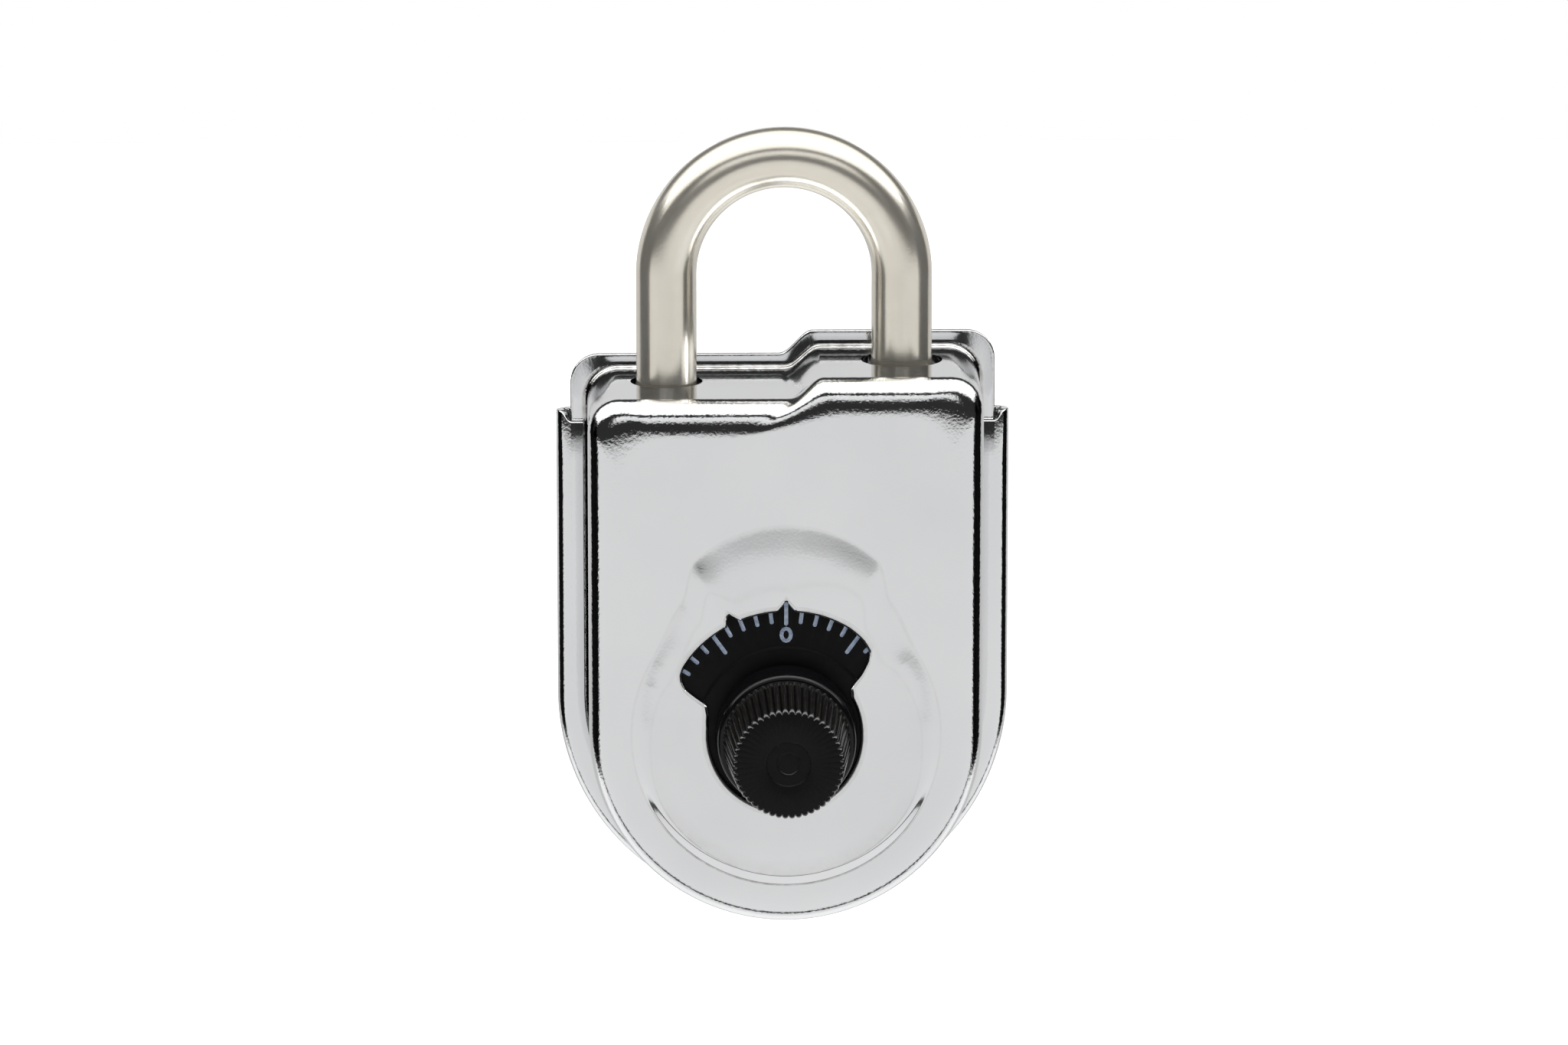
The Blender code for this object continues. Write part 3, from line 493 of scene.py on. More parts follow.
def black_plastic(name, rough, grain_height, shine=0.5, colour=(0.0028, 0.0028, 0.0032)):
    """Moulded black plastic, a little uneven in tone and gloss."""
    made, tree, shader, coords = new_material(name)
    shader.inputs["Specular IOR Level"].default_value = shine
    tint = tuple(c * 1.6 for c in colour)
    tone = noise(tree, coords, 700.0, 3.0)
    tree.links.new(mix_colours(tree, tone, colour, tint), shader.inputs["Base Color"])
    tree.links.new(spread(tree, noise(tree, coords, 900.0, 3.0), *rough), shader.inputs["Roughness"])
    bump(tree, shader, [(noise(tree, coords, 2400.0, 2.0), grain_height)])
    return made


def dial_paint(name):
    """Worn bluish-white filling of the engraved marks."""
    made, tree, shader, coords = new_material(name)
    worn = noise(tree, coords, 1500.0, 3.0)
    colour = mix_colours(tree, spread(tree, worn, 0.0, 1.0), (0.21, 0.27, 0.39), (0.45, 0.53, 0.65))
    tree.links.new(colour, shader.inputs["Base Color"])
    shader.inputs["Roughness"].default_value = 0.45
    bump(tree, shader, [(worn, 0.00003)])
    return made


def metal(name, dark, light, rough, grain=900.0, stretch=(1.0, 1.0, 1.0), height=0.000008):
    """A mechanism metal with a grain, mottled colour and uneven gloss."""
    made, tree, shader, coords = new_material(name)
    shader.inputs["Metallic"].default_value = 1.0
    mottle = spread(tree, noise(tree, coords, 320.0, 4.0), 0.0, 1.0)
    tree.links.new(mix_colours(tree, mottle, dark, light), shader.inputs["Base Color"])
    fine = noise(tree, coords, grain, 3.0, stretch)
    tree.links.new(spread(tree, fine, *rough), shader.inputs["Roughness"])
    bump(tree, shader, [(fine, height)])
    return made


SLOT_MATERIALS = {
    "case_chrome": chrome("case_chrome"),
    "cover_chrome": chrome("cover_chrome"),
    "shackle_nickel": satin_nickel("shackle_nickel"),
    "dial_black": black_plastic("dial_black", (0.10, 0.18), 0.000002),
    "plated_steel": metal("plated_steel", (0.50, 0.51, 0.53), (0.68, 0.69, 0.70), (0.28, 0.42)),
    "brass": metal("brass", (0.60, 0.42, 0.16), (0.78, 0.60, 0.30), (0.22, 0.38), 1400.0, (1.0, 1.0, 0.1)),
    "spring_steel": metal("spring_steel", (0.30, 0.30, 0.32), (0.48, 0.48, 0.50), (0.22, 0.36)),
    "hard_steel": metal("hard_steel", (0.10, 0.10, 0.11), (0.20, 0.20, 0.22), (0.34, 0.50)),
    "cast_zinc": metal("cast_zinc", (0.40, 0.41, 0.43), (0.55, 0.56, 0.58), (0.42, 0.60), 1800.0,
                       height=0.00002),
}
SATIN_BLACK = black_plastic("dial_satin_black", (0.30, 0.40), 0.000004, 0.12)
KNOB_BLACK = black_plastic("knob_black", (0.12, 0.22), 0.000004, 0.9, (0.0055, 0.005, 0.0045))
COLLAR_BLACK = black_plastic("collar_black", (0.05, 0.12), 0.0000015, 0.22)
PAINT = dial_paint("dial_paint")


def finish_cad_nodes():
    """Give every carried-over CAD node the procedural material of its slot."""
    for entry in frame["record"]["subparts"]:
        obj = frame["nodes"][entry["node"]]
        obj.data.materials.clear()
        obj.data.materials.append(SLOT_MATERIALS[entry["material_slot"]])


# ---------------- case

FINE_STRETCHES = ((-70.0, -53.0), (-28.5, -17.5), (-6.0, 6.0), (39.0, 58.0))


def directions():
    """Angles clockwise from the top, in radians, closer where the window's outline turns sharply."""
    angles = []
    angle = -180.0
    while angle < 179.9:
        angles.append(angle)
        fine = any(low <= angle < high for low, high in FINE_STRETCHES)
        angle += 0.2 if fine else 0.6
    return np.radians(angles)


TURN = directions()
TURN_SIN = np.sin(TURN)
TURN_COS = np.cos(TURN)


def reach(outline):
    """Distance from the dial axis to a closed outline in each direction, exact on straight stretches."""
    points = np.array(outline, float)
    turn = np.arctan2(points[:, 0], points[:, 1])
    order = np.argsort(turn)
    points = points[order]
    turn = turn[order]
    points = np.vstack((points[-1:], points, points[:1]))
    turn = np.concatenate((turn[-1:] - math.tau, turn, turn[:1] + math.tau))
    at = np.clip(np.searchsorted(turn, TURN, side="right") - 1, 0, len(turn) - 2)
    p = points[at]
    q = points[at + 1]
    along = q - p
    top = p[:, 0] * along[:, 1] - p[:, 1] * along[:, 0]
    base = TURN_SIN * along[:, 1] - TURN_COS * along[:, 0]
    return top / base


def ring(radius, depth):
    """Points in every direction at a radius and depth, each a number or an array."""
    return np.column_stack((radius * TURN_SIN, radius * TURN_COS, np.broadcast_to(depth, TURN.shape)))


def case_outline(half, tops, corner, step=STEP_X):
    """Outline from the bottom: half circle, straight sides and a stepped top."""
    left, right = tops
    inner = half - corner
    points = arc(0.0, 0.0, half, -90, 0, 120) + [(half, 0.0)]
    points += arc(inner, right - corner, corner, 0, 90, 24) + [(inner, right)]
    for i in range(33):
        t = i / 32
        points.append((step[1] - (step[1] - step[0]) * t, right + (left - right) * float(ease(t))))
    points += [(-inner, left)] + arc(-inner, left - corner, corner, 90, 180, 24)
    points += [(-half, left - corner)] + arc(0.0, 0.0, half, 180, 270, 120)
    return points


def case_reach(half, tops, corner, inset=0.0, step=STEP_X):
    """Reach of a case outline moved inwards by an inset."""
    return reach(case_outline(half - inset, [t - inset for t in tops], max(corner - inset, 0.3), step))


def boss_reach():
    """Distance from the dial axis to the foot of the raised boss."""
    turn = np.abs(np.degrees(TURN))
    across = np.clip(FAN_R**2 - (FAN_UP * TURN_SIN) ** 2, 0.0, None)
    rise = np.clip(FAN_UP * TURN_COS + np.sqrt(across) - BOSS_R, 0.0, None)
    shoulder = 1.0 - 0.5 * ease((turn - 27.0) / 11.0)
    flare = 1.0 - ease((turn - 36.0) / 32.0)
    return BOSS_R + rise * shoulder * flare


def window_reach(notched=True):
    """Distance to the window's edge: round below, a fan above, and two pointed index notches."""
    turn = np.degrees(TURN)
    radius = np.interp(turn, *zip(*WINDOW_EDGE))
    kernel = np.hanning(9)
    padded = np.concatenate((radius[-4:], radius, radius[:4]))
    radius = np.convolve(padded, kernel / kernel.sum(), mode="valid")
    if not notched:
        return radius
    height = INDEX_R - WINDOW_FAN_R
    across = turn / math.degrees(INDEX_HALF_WIDTH / WINDOW_FAN_R)
    across = np.clip(np.sqrt(across**2 + 0.01) - 0.1, 0.0, 1.0)
    radius = radius + height * (1.0 - across) ** 1.45
    across = np.clip((turn - CHANGE_INDEX) / math.degrees(CHANGE_HALF_WIDTH / WINDOW_FAN_R), -1.0, 1.0)
    notch = np.where(across < 0.0, (1.0 - across**2) ** 0.8, (1.0 - np.abs(across)) ** 1.2)
    return radius + height * 0.95 * notch


def offset_outline(radius, distance):
    """An outline given by its reach, moved outwards along its own smoothed normals, as (x, up) points."""
    points = np.column_stack((radius * TURN_SIN, radius * TURN_COS))
    along = np.roll(points, -2, axis=0) - np.roll(points, 2, axis=0)
    normal = np.column_stack((-along[:, 1], along[:, 0]))
    normal /= np.linalg.norm(normal, axis=1)[:, None]
    outwards = np.sign(np.sum(normal * points, axis=1))[:, None]
    normal = normal * outwards
    for _ in range(3):
        normal = np.roll(normal, 1, axis=0) + normal * 2.0 + np.roll(normal, -1, axis=0)
        normal /= np.linalg.norm(normal, axis=1)[:, None]
    return points + normal * distance


def smoothed(values, width, lowest):
    """A closed run of values smoothed over a number of directions, never above its local minimum by much."""
    half = width // 2
    padded = np.concatenate((values[-half:], values, values[:half]))
    windows = np.lib.stride_tricks.sliding_window_view(padded, width)
    floor = windows.min(axis=1)
    padded = np.concatenate((floor[-half:], floor, floor[:half]))
    kernel = np.hanning(width + 2)[1:-1]
    return np.maximum(np.convolve(padded, kernel / kernel.sum(), mode="valid"), lowest)


BOSS_FOOT = boss_reach()
WINDOW_RIM = np.linalg.norm(offset_outline(window_reach(), RIM_R), axis=1)
BOSS_ROOM = 0.96 * (BOSS_FOOT - window_reach(False) - RIM_R)
BOSS_WIDTH = np.interp(np.abs(np.degrees(TURN)), *zip(*BOSS_WIDTHS))
BOSS_WIDTH = smoothed(np.minimum(BOSS_WIDTH, BOSS_ROOM), 61, 1.0)


def slope_profile(t, foot, shoulder):
    """Share of a ramp's height: straight between a rounded foot and a rounded shoulder."""
    t = np.clip(t, 0.0, 1.0)
    whole = 1.0 - (foot + shoulder) / 2.0
    low = t * t / (2.0 * foot)
    high = whole - (1.0 - t) ** 2 / (2.0 * shoulder)
    middle = t - foot / 2.0
    return np.where(t < foot, low, np.where(t > 1.0 - shoulder, high, middle)) / whole


def front_surface(points):
    """Depth of the case's front at (x, up) points given in the order of the directions."""
    t = (BOSS_FOOT - np.linalg.norm(points, axis=1)) / BOSS_WIDTH
    turn = np.abs(np.degrees(TURN))
    lower = ease((turn - 32.0) / 50.0)
    ramp = slope_profile(t, 0.14, np.interp(turn, (0, 110, 160), (0.6, 0.6, 0.14)))
    share = slope_profile(t, 0.05, 0.75) * (1.0 - lower) + ramp * lower
    climb = slope_profile((points[:, 1] - BOSS_FULL_UP) / (BOSS_HALF_UP - BOSS_FULL_UP), 0.2, 0.2)
    shoulder = 1.0 - 0.35 * np.exp(-(((turn - 42.0) / 9.0) ** 2))
    return FRONT_DEPTH + (BOSS_RISE + (FAN_RISE - BOSS_RISE) * climb) * share * shoulder


def edge_profile():
    """(inset, drop, worked) points of the case's front edge from its wall to its face."""
    angles = np.linspace(0.0, math.pi / 2, EDGE_SAMPLES)
    radius = EDGE_R + EDGE_EASE * np.clip(1.0 - angles / math.radians(EDGE_EASE_TURN), 0.0, 1.0)
    step = angles[1]
    along = np.cumsum(radius * np.cos(angles)) * step
    down = np.cumsum(radius * np.sin(angles)) * step
    picks = np.linspace(0, EDGE_SAMPLES - 1, EDGE_STEPS).astype(int)
    points = [(along[-1] - along[i], down[i], min(1.0, i / 16.0)) for i in picks]
    points[0] = (along[-1], 0.0, 0.0)
    return points[::-1]


def flange_ring(inset, depth):
    """The flange's outline moved inwards, leaning forwards where it stands above the cover."""
    points = ring(case_reach(FLANGE_HALF, FLANGE_TOP, FLANGE_CORNER, inset, FLANGE_STEP_X), depth)
    height = np.interp(points[:, 0], FLANGE_STEP_X, FLANGE_HEIGHTS) - inset
    points[:, 2] += FLANGE_LEAN * height * ease((points[:, 1] - COVER_TOP) / 4.0)
    return points


def root_ring(inset, depth):
    """The outline of the wall's foot moved inwards."""
    return ring(case_reach(ROOT_HALF, ROOT_TOP, ROOT_CORNER, inset), depth)


def front_ring(inset, depth, share):
    """The outline of the front edge; share is how far it has come from the wall to the face."""
    corner = ROOT_CORNER + (FACE_CORNER - ROOT_CORNER) * share + inset
    step = [a + (b - a) * share**1.25 for a, b in zip(STEP_X, FACE_STEP_X)]
    return ring(case_reach(FRONT_HALF, FRONT_TOP, corner, inset, step), depth)


def wall_rings(profile):
    """(points, worked, painted shade and grime) rings round the flange's rim, up the wall and over the front edge.
    """
    rings = []
    for turn in range(-90, 91, 30):
        angle = math.radians(turn)
        middle = FLANGE_DEPTH - SHEET / 2 + math.copysign(SHEET / 2 - FLANGE_RIM_R, turn)
        points = flange_ring(FLANGE_RIM_R * (1 - math.cos(angle)), middle + FLANGE_RIM_R * math.sin(angle))
        rings.append((points, 0.9, 0.25))
    rings.append((flange_ring(FLANGE_RIM_R + 0.3, FLANGE_DEPTH), 0.2, 0.0))
    rings.append((root_ring(-ROOT_FILLET - 0.35, FLANGE_DEPTH), 0.2, 0.1))
    for i in range(9):
        angle = math.radians(90 * i / 8)
        inset = -ROOT_FILLET * (1.0 - math.sin(angle))
        depth = FLANGE_DEPTH + ROOT_FILLET * (1.0 - math.cos(angle))
        # painted shade and grime in the wall's root fillet
        rings.append((root_ring(inset, depth), 1.2, 0.7))
    low = FLANGE_DEPTH + ROOT_FILLET
    high = FRONT_DEPTH - profile[0][1]
    foot = case_reach(ROOT_HALF, ROOT_TOP, ROOT_CORNER)
    head = case_reach(FRONT_HALF, FRONT_TOP, ROOT_CORNER)
    for share in (0.02, 0.35, 0.65, 0.98):
        rings.append((ring(foot + (head - foot) * share, low + (high - low) * share), 0.0, 0.0))
    for inset, drop, worked in profile:
        points = front_ring(inset, FRONT_DEPTH - drop, inset / profile[-1][0])
        rings.append((points, worked, 0.0))
    return rings


def face_rings(edge):
    """(points, worked, painted shade and grime) rings from the face's edge over the boss to the window's bead."""
    start = edge - 0.25
    face = [(start, 0.0, 0.0)]
    face += [(start + (BOSS_FOOT + 0.1 - start) * share, 0.0, 0.0) for share in (0.4, 0.8, 1.0)]
    # painted shade and grime along the boss's foot and shoulder creases, stronger towards the bottom
    crease_shade_round = BOSS_CREASE_SHADE * (0.12 + 0.88 * ease((np.abs(np.degrees(TURN)) - 105.0) / 40.0))
    for i in range(19):
        t = i / 18
        crease = math.exp(-((t - 0.04) / 0.05) ** 2) + 0.6 * math.exp(-((t - 0.93) / 0.06) ** 2)
        face.append((BOSS_FOOT - BOSS_WIDTH * t, 0.12, crease * crease_shade_round))
    top_edge = BOSS_FOOT - BOSS_WIDTH - 0.05
    bead_foot = WINDOW_RIM + BEAD_WIDE
    face += [(top_edge + (bead_foot - top_edge) * share, 0.0, 0.0) for share in (0.25, 0.6, 1.0)]
    face += [(WINDOW_RIM + BEAD_WIDE * share, 0.0, 0.15) for share in (0.7, 0.45, 0.22)]
    rings = []
    for radius, worked, shade_and_grime in face:
        points = np.column_stack((radius * TURN_SIN, radius * TURN_COS))
        bead = BEAD * float(ease(1.0 - np.mean(radius - WINDOW_RIM) / BEAD_WIDE))
        rings.append((np.column_stack((points, front_surface(points) + bead)), worked, shade_and_grime))
    return rings


def rim_rings():
    """(points, worked, painted shade and grime) rings rolled over the window's rim and on through the sheet."""
    opening = window_reach()
    rings = []
    for i in range(9):
        angle = math.radians(90 * i / 8)
        points = offset_outline(opening, RIM_R * (1 - math.sin(angle)))
        depth = front_surface(points) + BEAD - RIM_R * (1 - math.cos(angle))
        # painted shade and grime along the rim's outer edge
        rings.append((np.column_stack((points, depth)), 0.4, 0.5 if i == 0 else 0.0))
    points = offset_outline(opening, 0.0)
    rings.append((np.column_stack((points, front_surface(points) - RIM_SHEET)), 0.0, 0.0))
    return rings


def inner_rings(profile, face):
    """Plain rings of the sheet's inner side, from the window home to the flange."""
    rings = [points - np.array((0.0, 0.0, RIM_SHEET)) for points, _, _ in reversed(face[::2])]
    for inset, drop, _ in profile[::-5]:
        share = inset / profile[-1][0]
        rings.append(front_ring(SHEET + inset * 0.6, FRONT_DEPTH - SHEET - drop * 0.6, share))
    bend = ROOT_FILLET + SHEET
    for i in range(6):
        angle = math.radians(90 - 90 * i / 5)
        inset = SHEET - bend * (1.0 - math.sin(angle))
        rings.append(root_ring(inset, FLANGE_DEPTH - SHEET + bend * (1.0 - math.cos(angle))))
    return [(points, 0.0, 0.0) for points in rings]


def make_case():
    """The drawn front case with its window and shackle holes."""
    profile = edge_profile()
    walls = wall_rings(profile)
    face = face_rings(np.linalg.norm(walls[-1][0][:, :2], axis=1))
    shell = walls + face + rim_rings() + inner_rings(profile, face)
    rings = [points for points, _, _ in shell]
    finish = [(worked, shade_and_grime) for _, worked, shade_and_grime in shell]
    mesh = tidy(grid_mesh("case_shell", rings, closed_rings=True, closed_loop=True, finish=finish))
    case = make_object("case_shell", mesh, "case")
    cut(case, [
        cylinder("toe_hole", HOLE_R[0], -LEG_X, TOE_HOLE_UP, SHACKLE_DEPTH),
        cylinder("heel_hole", HOLE_R[1], LEG_X, HEEL_HOLE_UP, SHACKLE_DEPTH),
    ])
    finish_piece(case, SLOT_MATERIALS["case_chrome"])
    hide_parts("front_case")


# ---------------- back cover

def cover_path(half, top):
    """Down the left side, round the bottom and up the right side."""
    left = [(-half, top * (1 - i / 6)) for i in range(6)]
    right = [(half, top * i / 6) for i in range(7)]
    return left + arc(0.0, 0.0, half, 180, 360, 120) + right


def make_cover():
    """Flat sheet whose edge is rolled forwards and in over the case's flange."""
    roll = COVER_DEPTH / 2
    centre = COVER_HALF - roll
    section = [(COVER_LIP_HALF, COVER_DEPTH, COVER_LIP_TOP), (centre - 0.1, COVER_DEPTH, COVER_LIP_TOP)]
    finish = [(0.15, 0.0), (0.3, 0.0)] + [(0.9, 0.0)] * 17 + [(0.1, 0.0)] * 3
    for i in range(17):
        angle = math.radians(90 - 180 * i / 16)
        top = COVER_LIP_TOP + (COVER_TOP - COVER_LIP_TOP) * float(ease(i / 4))
        section.append((centre + roll * math.cos(angle), roll + roll * math.sin(angle), top))
    section += [(centre - inset, 0.0, COVER_TOP) for inset in (0.15, 8.0, 16.0)]
    rings = [np.array([(x, up, d) for x, up in cover_path(half, top)]) for half, d, top in section]
    mesh = grid_mesh("cover_sheet", rings, closed_rings=False, closed_loop=False, finish=finish)
    shape = bmesh.new()
    shape.from_mesh(mesh)
    shape.faces.new(list(shape.verts)[-len(rings[0]):])
    bmesh.ops.recalc_face_normals(shape, faces=shape.faces)
    back = max(shape.faces, key=lambda face: face.calc_area())
    if back.normal.y < 0.0:
        bmesh.ops.reverse_faces(shape, faces=shape.faces)
    shape.to_mesh(mesh)
    shape.free()
    cover = make_object("cover_sheet", mesh, "back_cover")
    sheet = cover.modifiers.new("sheet", "SOLIDIFY")
    sheet.thickness = COVER_SHEET * MM
    sheet.offset = -1.0
    sheet.use_even_offset = True
    rounding = cover.modifiers.new("rounding", "BEVEL")
    rounding.width = 0.14 * MM
    rounding.segments = 3
    rounding.limit_method = "ANGLE"
    rounding.angle_limit = math.radians(50)
    apply_modifiers(cover)
    finish_piece(cover, SLOT_MATERIALS["cover_chrome"], 50.0)
    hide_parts("back_cover")


# ---------------- shackle

def rod_path():
    """The rod's centre line from the heel's end round the bow to the toe's end."""
    path = [(LEG_X, HEEL_END_UP + (BOW_UP - HEEL_END_UP) * i / 20) for i in range(20)]
    path += arc(0.0, BOW_UP, LEG_X, 0, 180, 96)
    path += [(-LEG_X, BOW_UP - (BOW_UP - TOE_END_UP) * i / 12) for i in range(13)]
    return np.array(path)


def add_lengthwise_uv(mesh, lengths, columns):
    """UVs of a tube for streaks that run along it; lengths has one for each ring of columns points."""
    layer = mesh.uv_layers.new(name="lengthwise")
    for polygon in mesh.polygons:
        wraps = {v % columns for v in polygon.vertices} == {0, columns - 1}
        for loop in polygon.loop_indices:
            vertex = mesh.loops[loop].vertex_index
            column = vertex % columns
            turn = 1.0 if wraps and column == 0 else column / columns
            layer.data[loop].uv = (turn * 0.25, lengths[vertex // columns])


def rod_mesh():
    """The bent rod, its two ends closed with a small chamfer."""
    path = rod_path()
    along = np.gradient(path, axis=0)
    along /= np.linalg.norm(along, axis=1)[:, None]
    side = np.column_stack((along[:, 1], -along[:, 0]))
    last = len(path) - 1
    stations = [(0.0, 0, 0.0), (ROD_R - ROD_CHAMFER, 0, 0.0), (ROD_R, 0, ROD_CHAMFER)]
    stations += [(ROD_R, i, 0.0) for i in range(1, last)]
    stations += [(ROD_R, last, -ROD_CHAMFER), (ROD_R - ROD_CHAMFER, last, 0.0), (0.0, last, 0.0)]
    angles = np.linspace(0.0, math.tau, 65)[:-1]
    rings = []
    for radius, at, ahead in stations:
        spot = path[at] + along[at] * ahead
        across = spot[None, :] + side[at][None, :] * (radius * np.cos(angles))[:, None]
        rings.append(np.column_stack((across, SHACKLE_DEPTH + radius * np.sin(angles))))
    mesh = grid_mesh("shackle_rod", rings, closed_rings=False, closed_loop=True)
    length = np.concatenate(([0.0], np.cumsum(np.linalg.norm(np.diff(path, axis=0), axis=1))))
    lengths = np.array([length[at] + ahead for _, at, ahead in stations]) / 100.0
    add_lengthwise_uv(mesh, lengths, len(angles))
    return tidy(mesh)


def shackle_cutters():
    """The toe's notch for the bolt, and the heel's stop flat, stop groove and spring bore."""
    inner_face = ROD_R - LEG_X
    outside = inner_face + 1.45
    ramp_foot = NOTCH_UP[0] - (inner_face - NOTCH_X) / NOTCH_RAMP
    notch = [(outside, NOTCH_UP[1]), (NOTCH_X, NOTCH_UP[1]), (NOTCH_X, NOTCH_UP[0]), (inner_face, ramp_foot),
             (outside, ramp_foot)]
    flat = [(10.0, STOP_UP[0]), (STOP_FLAT_X, STOP_UP[0]), (STOP_FLAT_X, STOP_UP[1]), (10.0, STOP_UP[1])]
    depths = (SHACKLE_DEPTH - 5.0, SHACKLE_DEPTH + 5.0)
    groove_ups = (STOP_UP[0], STOP_UP[0] + STOP_GROOVE)
    bore_ups = (HEEL_END_UP - 1.0, SPRING_BORE_TOP)
    return [
        prism("notch", notch, depths),
        prism("stop_flat", flat, depths),
        turned_ring("stop_groove", LEG_X - STOP_FLAT_X, ROD_R + 1.0, LEG_X, groove_ups, SHACKLE_DEPTH),
        cylinder("spring_bore", SPRING_BORE_R, LEG_X, bore_ups, SHACKLE_DEPTH, 48),
    ]


def make_shackle():
    """Bent rod with its locking notch, stop flat and groove, and ends with a small chamfer."""
    shackle = make_object("shackle_rod", rod_mesh(), "shackle")
    cut(shackle, shackle_cutters())
    finish_piece(shackle, SLOT_MATERIALS["shackle_nickel"])
    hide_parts("shackle")


# ---------------- dial

def stadium(start, end, half, steps=8):
    """Anticlockwise outline of a stroke with round ends."""
    heading = math.degrees(math.atan2(end[1] - start[1], end[0] - start[0]))
    points = []
    for (x, up), first in ((end, heading - 90), (start, heading + 90)):
        last = math.radians(first + 180)
        points += arc(x, up, half, first, first + 180, steps)
        points.append((x + half * math.cos(last), up + half * math.sin(last)))
    return points


def oval(steps=12):
    """Corners of the numeral nought."""
    turns = [math.tau * i / steps for i in range(steps + 1)]
    return [(NUMERAL_HALF[0] * math.cos(turn), NUMERAL_HALF[1] * math.sin(turn)) for turn in turns]


def bowl(middle, start, end, step):
    """Corners of a round bowl of the numerals 2 and 3, by whole degrees."""
    half, high = NUMERAL_HALF
    turns = [math.radians(degrees) for degrees in range(start, end, step)]
    return [(half * 0.9 * math.cos(turn), middle + high * 0.5 * math.sin(turn)) for turn in turns]


def digit_lines(digit):
    """Strokes of a digit about its own middle."""
    half, high = NUMERAL_HALF
    upper = bowl(high * 0.5, 160, -61, -20)
    if digit == "0":
        return [oval()]
    if digit == "1":
        return [[(-half * 0.5, high * 0.55), (0.05, high), (0.05, -high)]]
    if digit == "2":
        return [upper[:-1] + [(-half * 0.9, -high), (half * 0.95, -high)]]
    if digit == "3":
        return [upper[:-2] + [(0.0, 0.0)], [(0.0, 0.0)] + bowl(-high * 0.5, 90, -161, -25)]
    return [[(half * 0.4, -high), (half * 0.4, high), (-half, -high * 0.35), (half, -high * 0.35)]]


def tick_stroke(number, degrees):
    """A graduation: the fives reach further in, and the tens stop at their numeral."""
    inner = MARK_SHORT
    if number % 10 == 0:
        inner = MARK_TEN
    if number % 10 == 5:
        inner = MARK_LONG
    return clock(MARK_OUTER, degrees), clock(inner + MARK_HALF, degrees)


def numeral_strokes(number, degrees):
    """Strokes of a number that stands upright at its graduation when that one is at the top."""
    angle = math.radians(degrees)
    digits = str(number)
    squeeze = NARROW if len(digits) > 1 else 1.0
    strokes = []
    for index, digit in enumerate(digits):
        shift = (index - (len(digits) - 1) / 2) * NUMERAL_PITCH
        for chain in digit_lines(digit):
            spots = []
            for x, up in chain:
                across = x * squeeze + shift
                out = up + NUMERAL_R
                spots.append((across * math.cos(angle) + out * math.sin(angle),
                              -across * math.sin(angle) + out * math.cos(angle)))
            strokes += list(zip(spots, spots[1:]))
    return strokes


def mark_strokes():
    """Every engraved stroke of the dial as (start, end) in front view: the ticks, then the numerals."""
    ticks = []
    numerals = []
    for number in range(GRADUATIONS):
        degrees = 360.0 * number / GRADUATIONS
        ticks.append(tick_stroke(number, degrees))
        if number % 10 == 0:
            numerals += numeral_strokes(number, degrees)
    return ticks, numerals


def join_meshes(name, meshes):
    """One mesh from several."""
    shape = bmesh.new()
    for mesh in meshes:
        shape.from_mesh(mesh)
        bpy.data.meshes.remove(mesh)
    made = bpy.data.meshes.new(name)
    shape.to_mesh(made)
    shape.free()
    return made


def paint_stroke(start, end, half):
    """Paint in one engraved stroke: its surface dips towards the middle."""
    rings = []
    for share, depth in ((1.0, -ENGRAVED - 0.05), (1.0, -0.05), (0.6, -0.10), (0.15, -0.13)):
        rings.append(np.array([(x, up, DIAL_FACE + depth) for x, up in stadium(start, end, half * share)]))
    return capped(grid_mesh("stroke", rings, closed_rings=False, closed_loop=True), len(rings[0]))


def rounded(profile, radius, steps=4):
    """A (radius, depth) profile with its inner corners rounded by a Bezier arc."""
    points = [profile[0]]
    for before, here, after in zip(profile, profile[1:], profile[2:]):
        here = np.array(here)
        back = np.array(before) - here
        ahead = np.array(after) - here
        reach_back = min(radius, 0.45 * np.linalg.norm(back))
        reach_ahead = min(radius, 0.45 * np.linalg.norm(ahead))
        start = here + back / np.linalg.norm(back) * reach_back
        end = here + ahead / np.linalg.norm(ahead) * reach_ahead
        for i in range(steps + 1):
            t = i / steps
            points.append(tuple((1 - t) ** 2 * start + 2 * t * (1 - t) * here + t * t * end))
    return points + [profile[-1]]


def knurl(radius, depth, angle):
    """Radius of the knob's ribbed side: rounded ribs and sharp grooves that run out at both ends."""
    if radius < KNOB_R[0] - 0.6 or not KNOB_DEPTHS[0] < depth < KNOB_FACE - 0.05:
        return radius
    rib = abs(math.sin(angle * KNURLS / 2.0)) ** 0.6
    rise = min(1.0, (depth - KNOB_DEPTHS[0]) / 0.3)
    fall = 0.45 + 0.55 * min(1.0, (KNOB_FACE - depth) / 1.1)
    return radius - KNURL_DEEP * (1.0 - rib) * rise * fall


def make_dial_plate(ticks, numerals):
    """The plate and its seat for the collar, engraved with every mark."""
    profile = [(PLATE_BORE_R, DIAL_BACK), *PLATE_STEP, (PLATE_FACE_R, DIAL_FACE), (DIAL_R, DIAL_FACE),
               (DIAL_R, DIAL_BACK), (PLATE_BORE_R, DIAL_BACK)]
    mesh = turned("dial_plate", rounded(profile, 0.12, 3), 256)
    plate = make_object("dial_plate", mesh, "dial")
    depths = (DIAL_FACE - ENGRAVED, DIAL_FACE + 0.3)
    grooves = [prism("tick", stadium(a, b, MARK_HALF), depths) for a, b in ticks]
    cut(plate, [join_meshes("grooves", grooves)])
    letters = [prism("numeral", stadium(a, b, MARK_HALF * NUMERAL_LINE, 5), depths) for a, b in numerals]
    cut(plate, [join_meshes("letters", letters)], self_crossing=True)
    finish_piece(plate, SATIN_BLACK)
    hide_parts("dial")


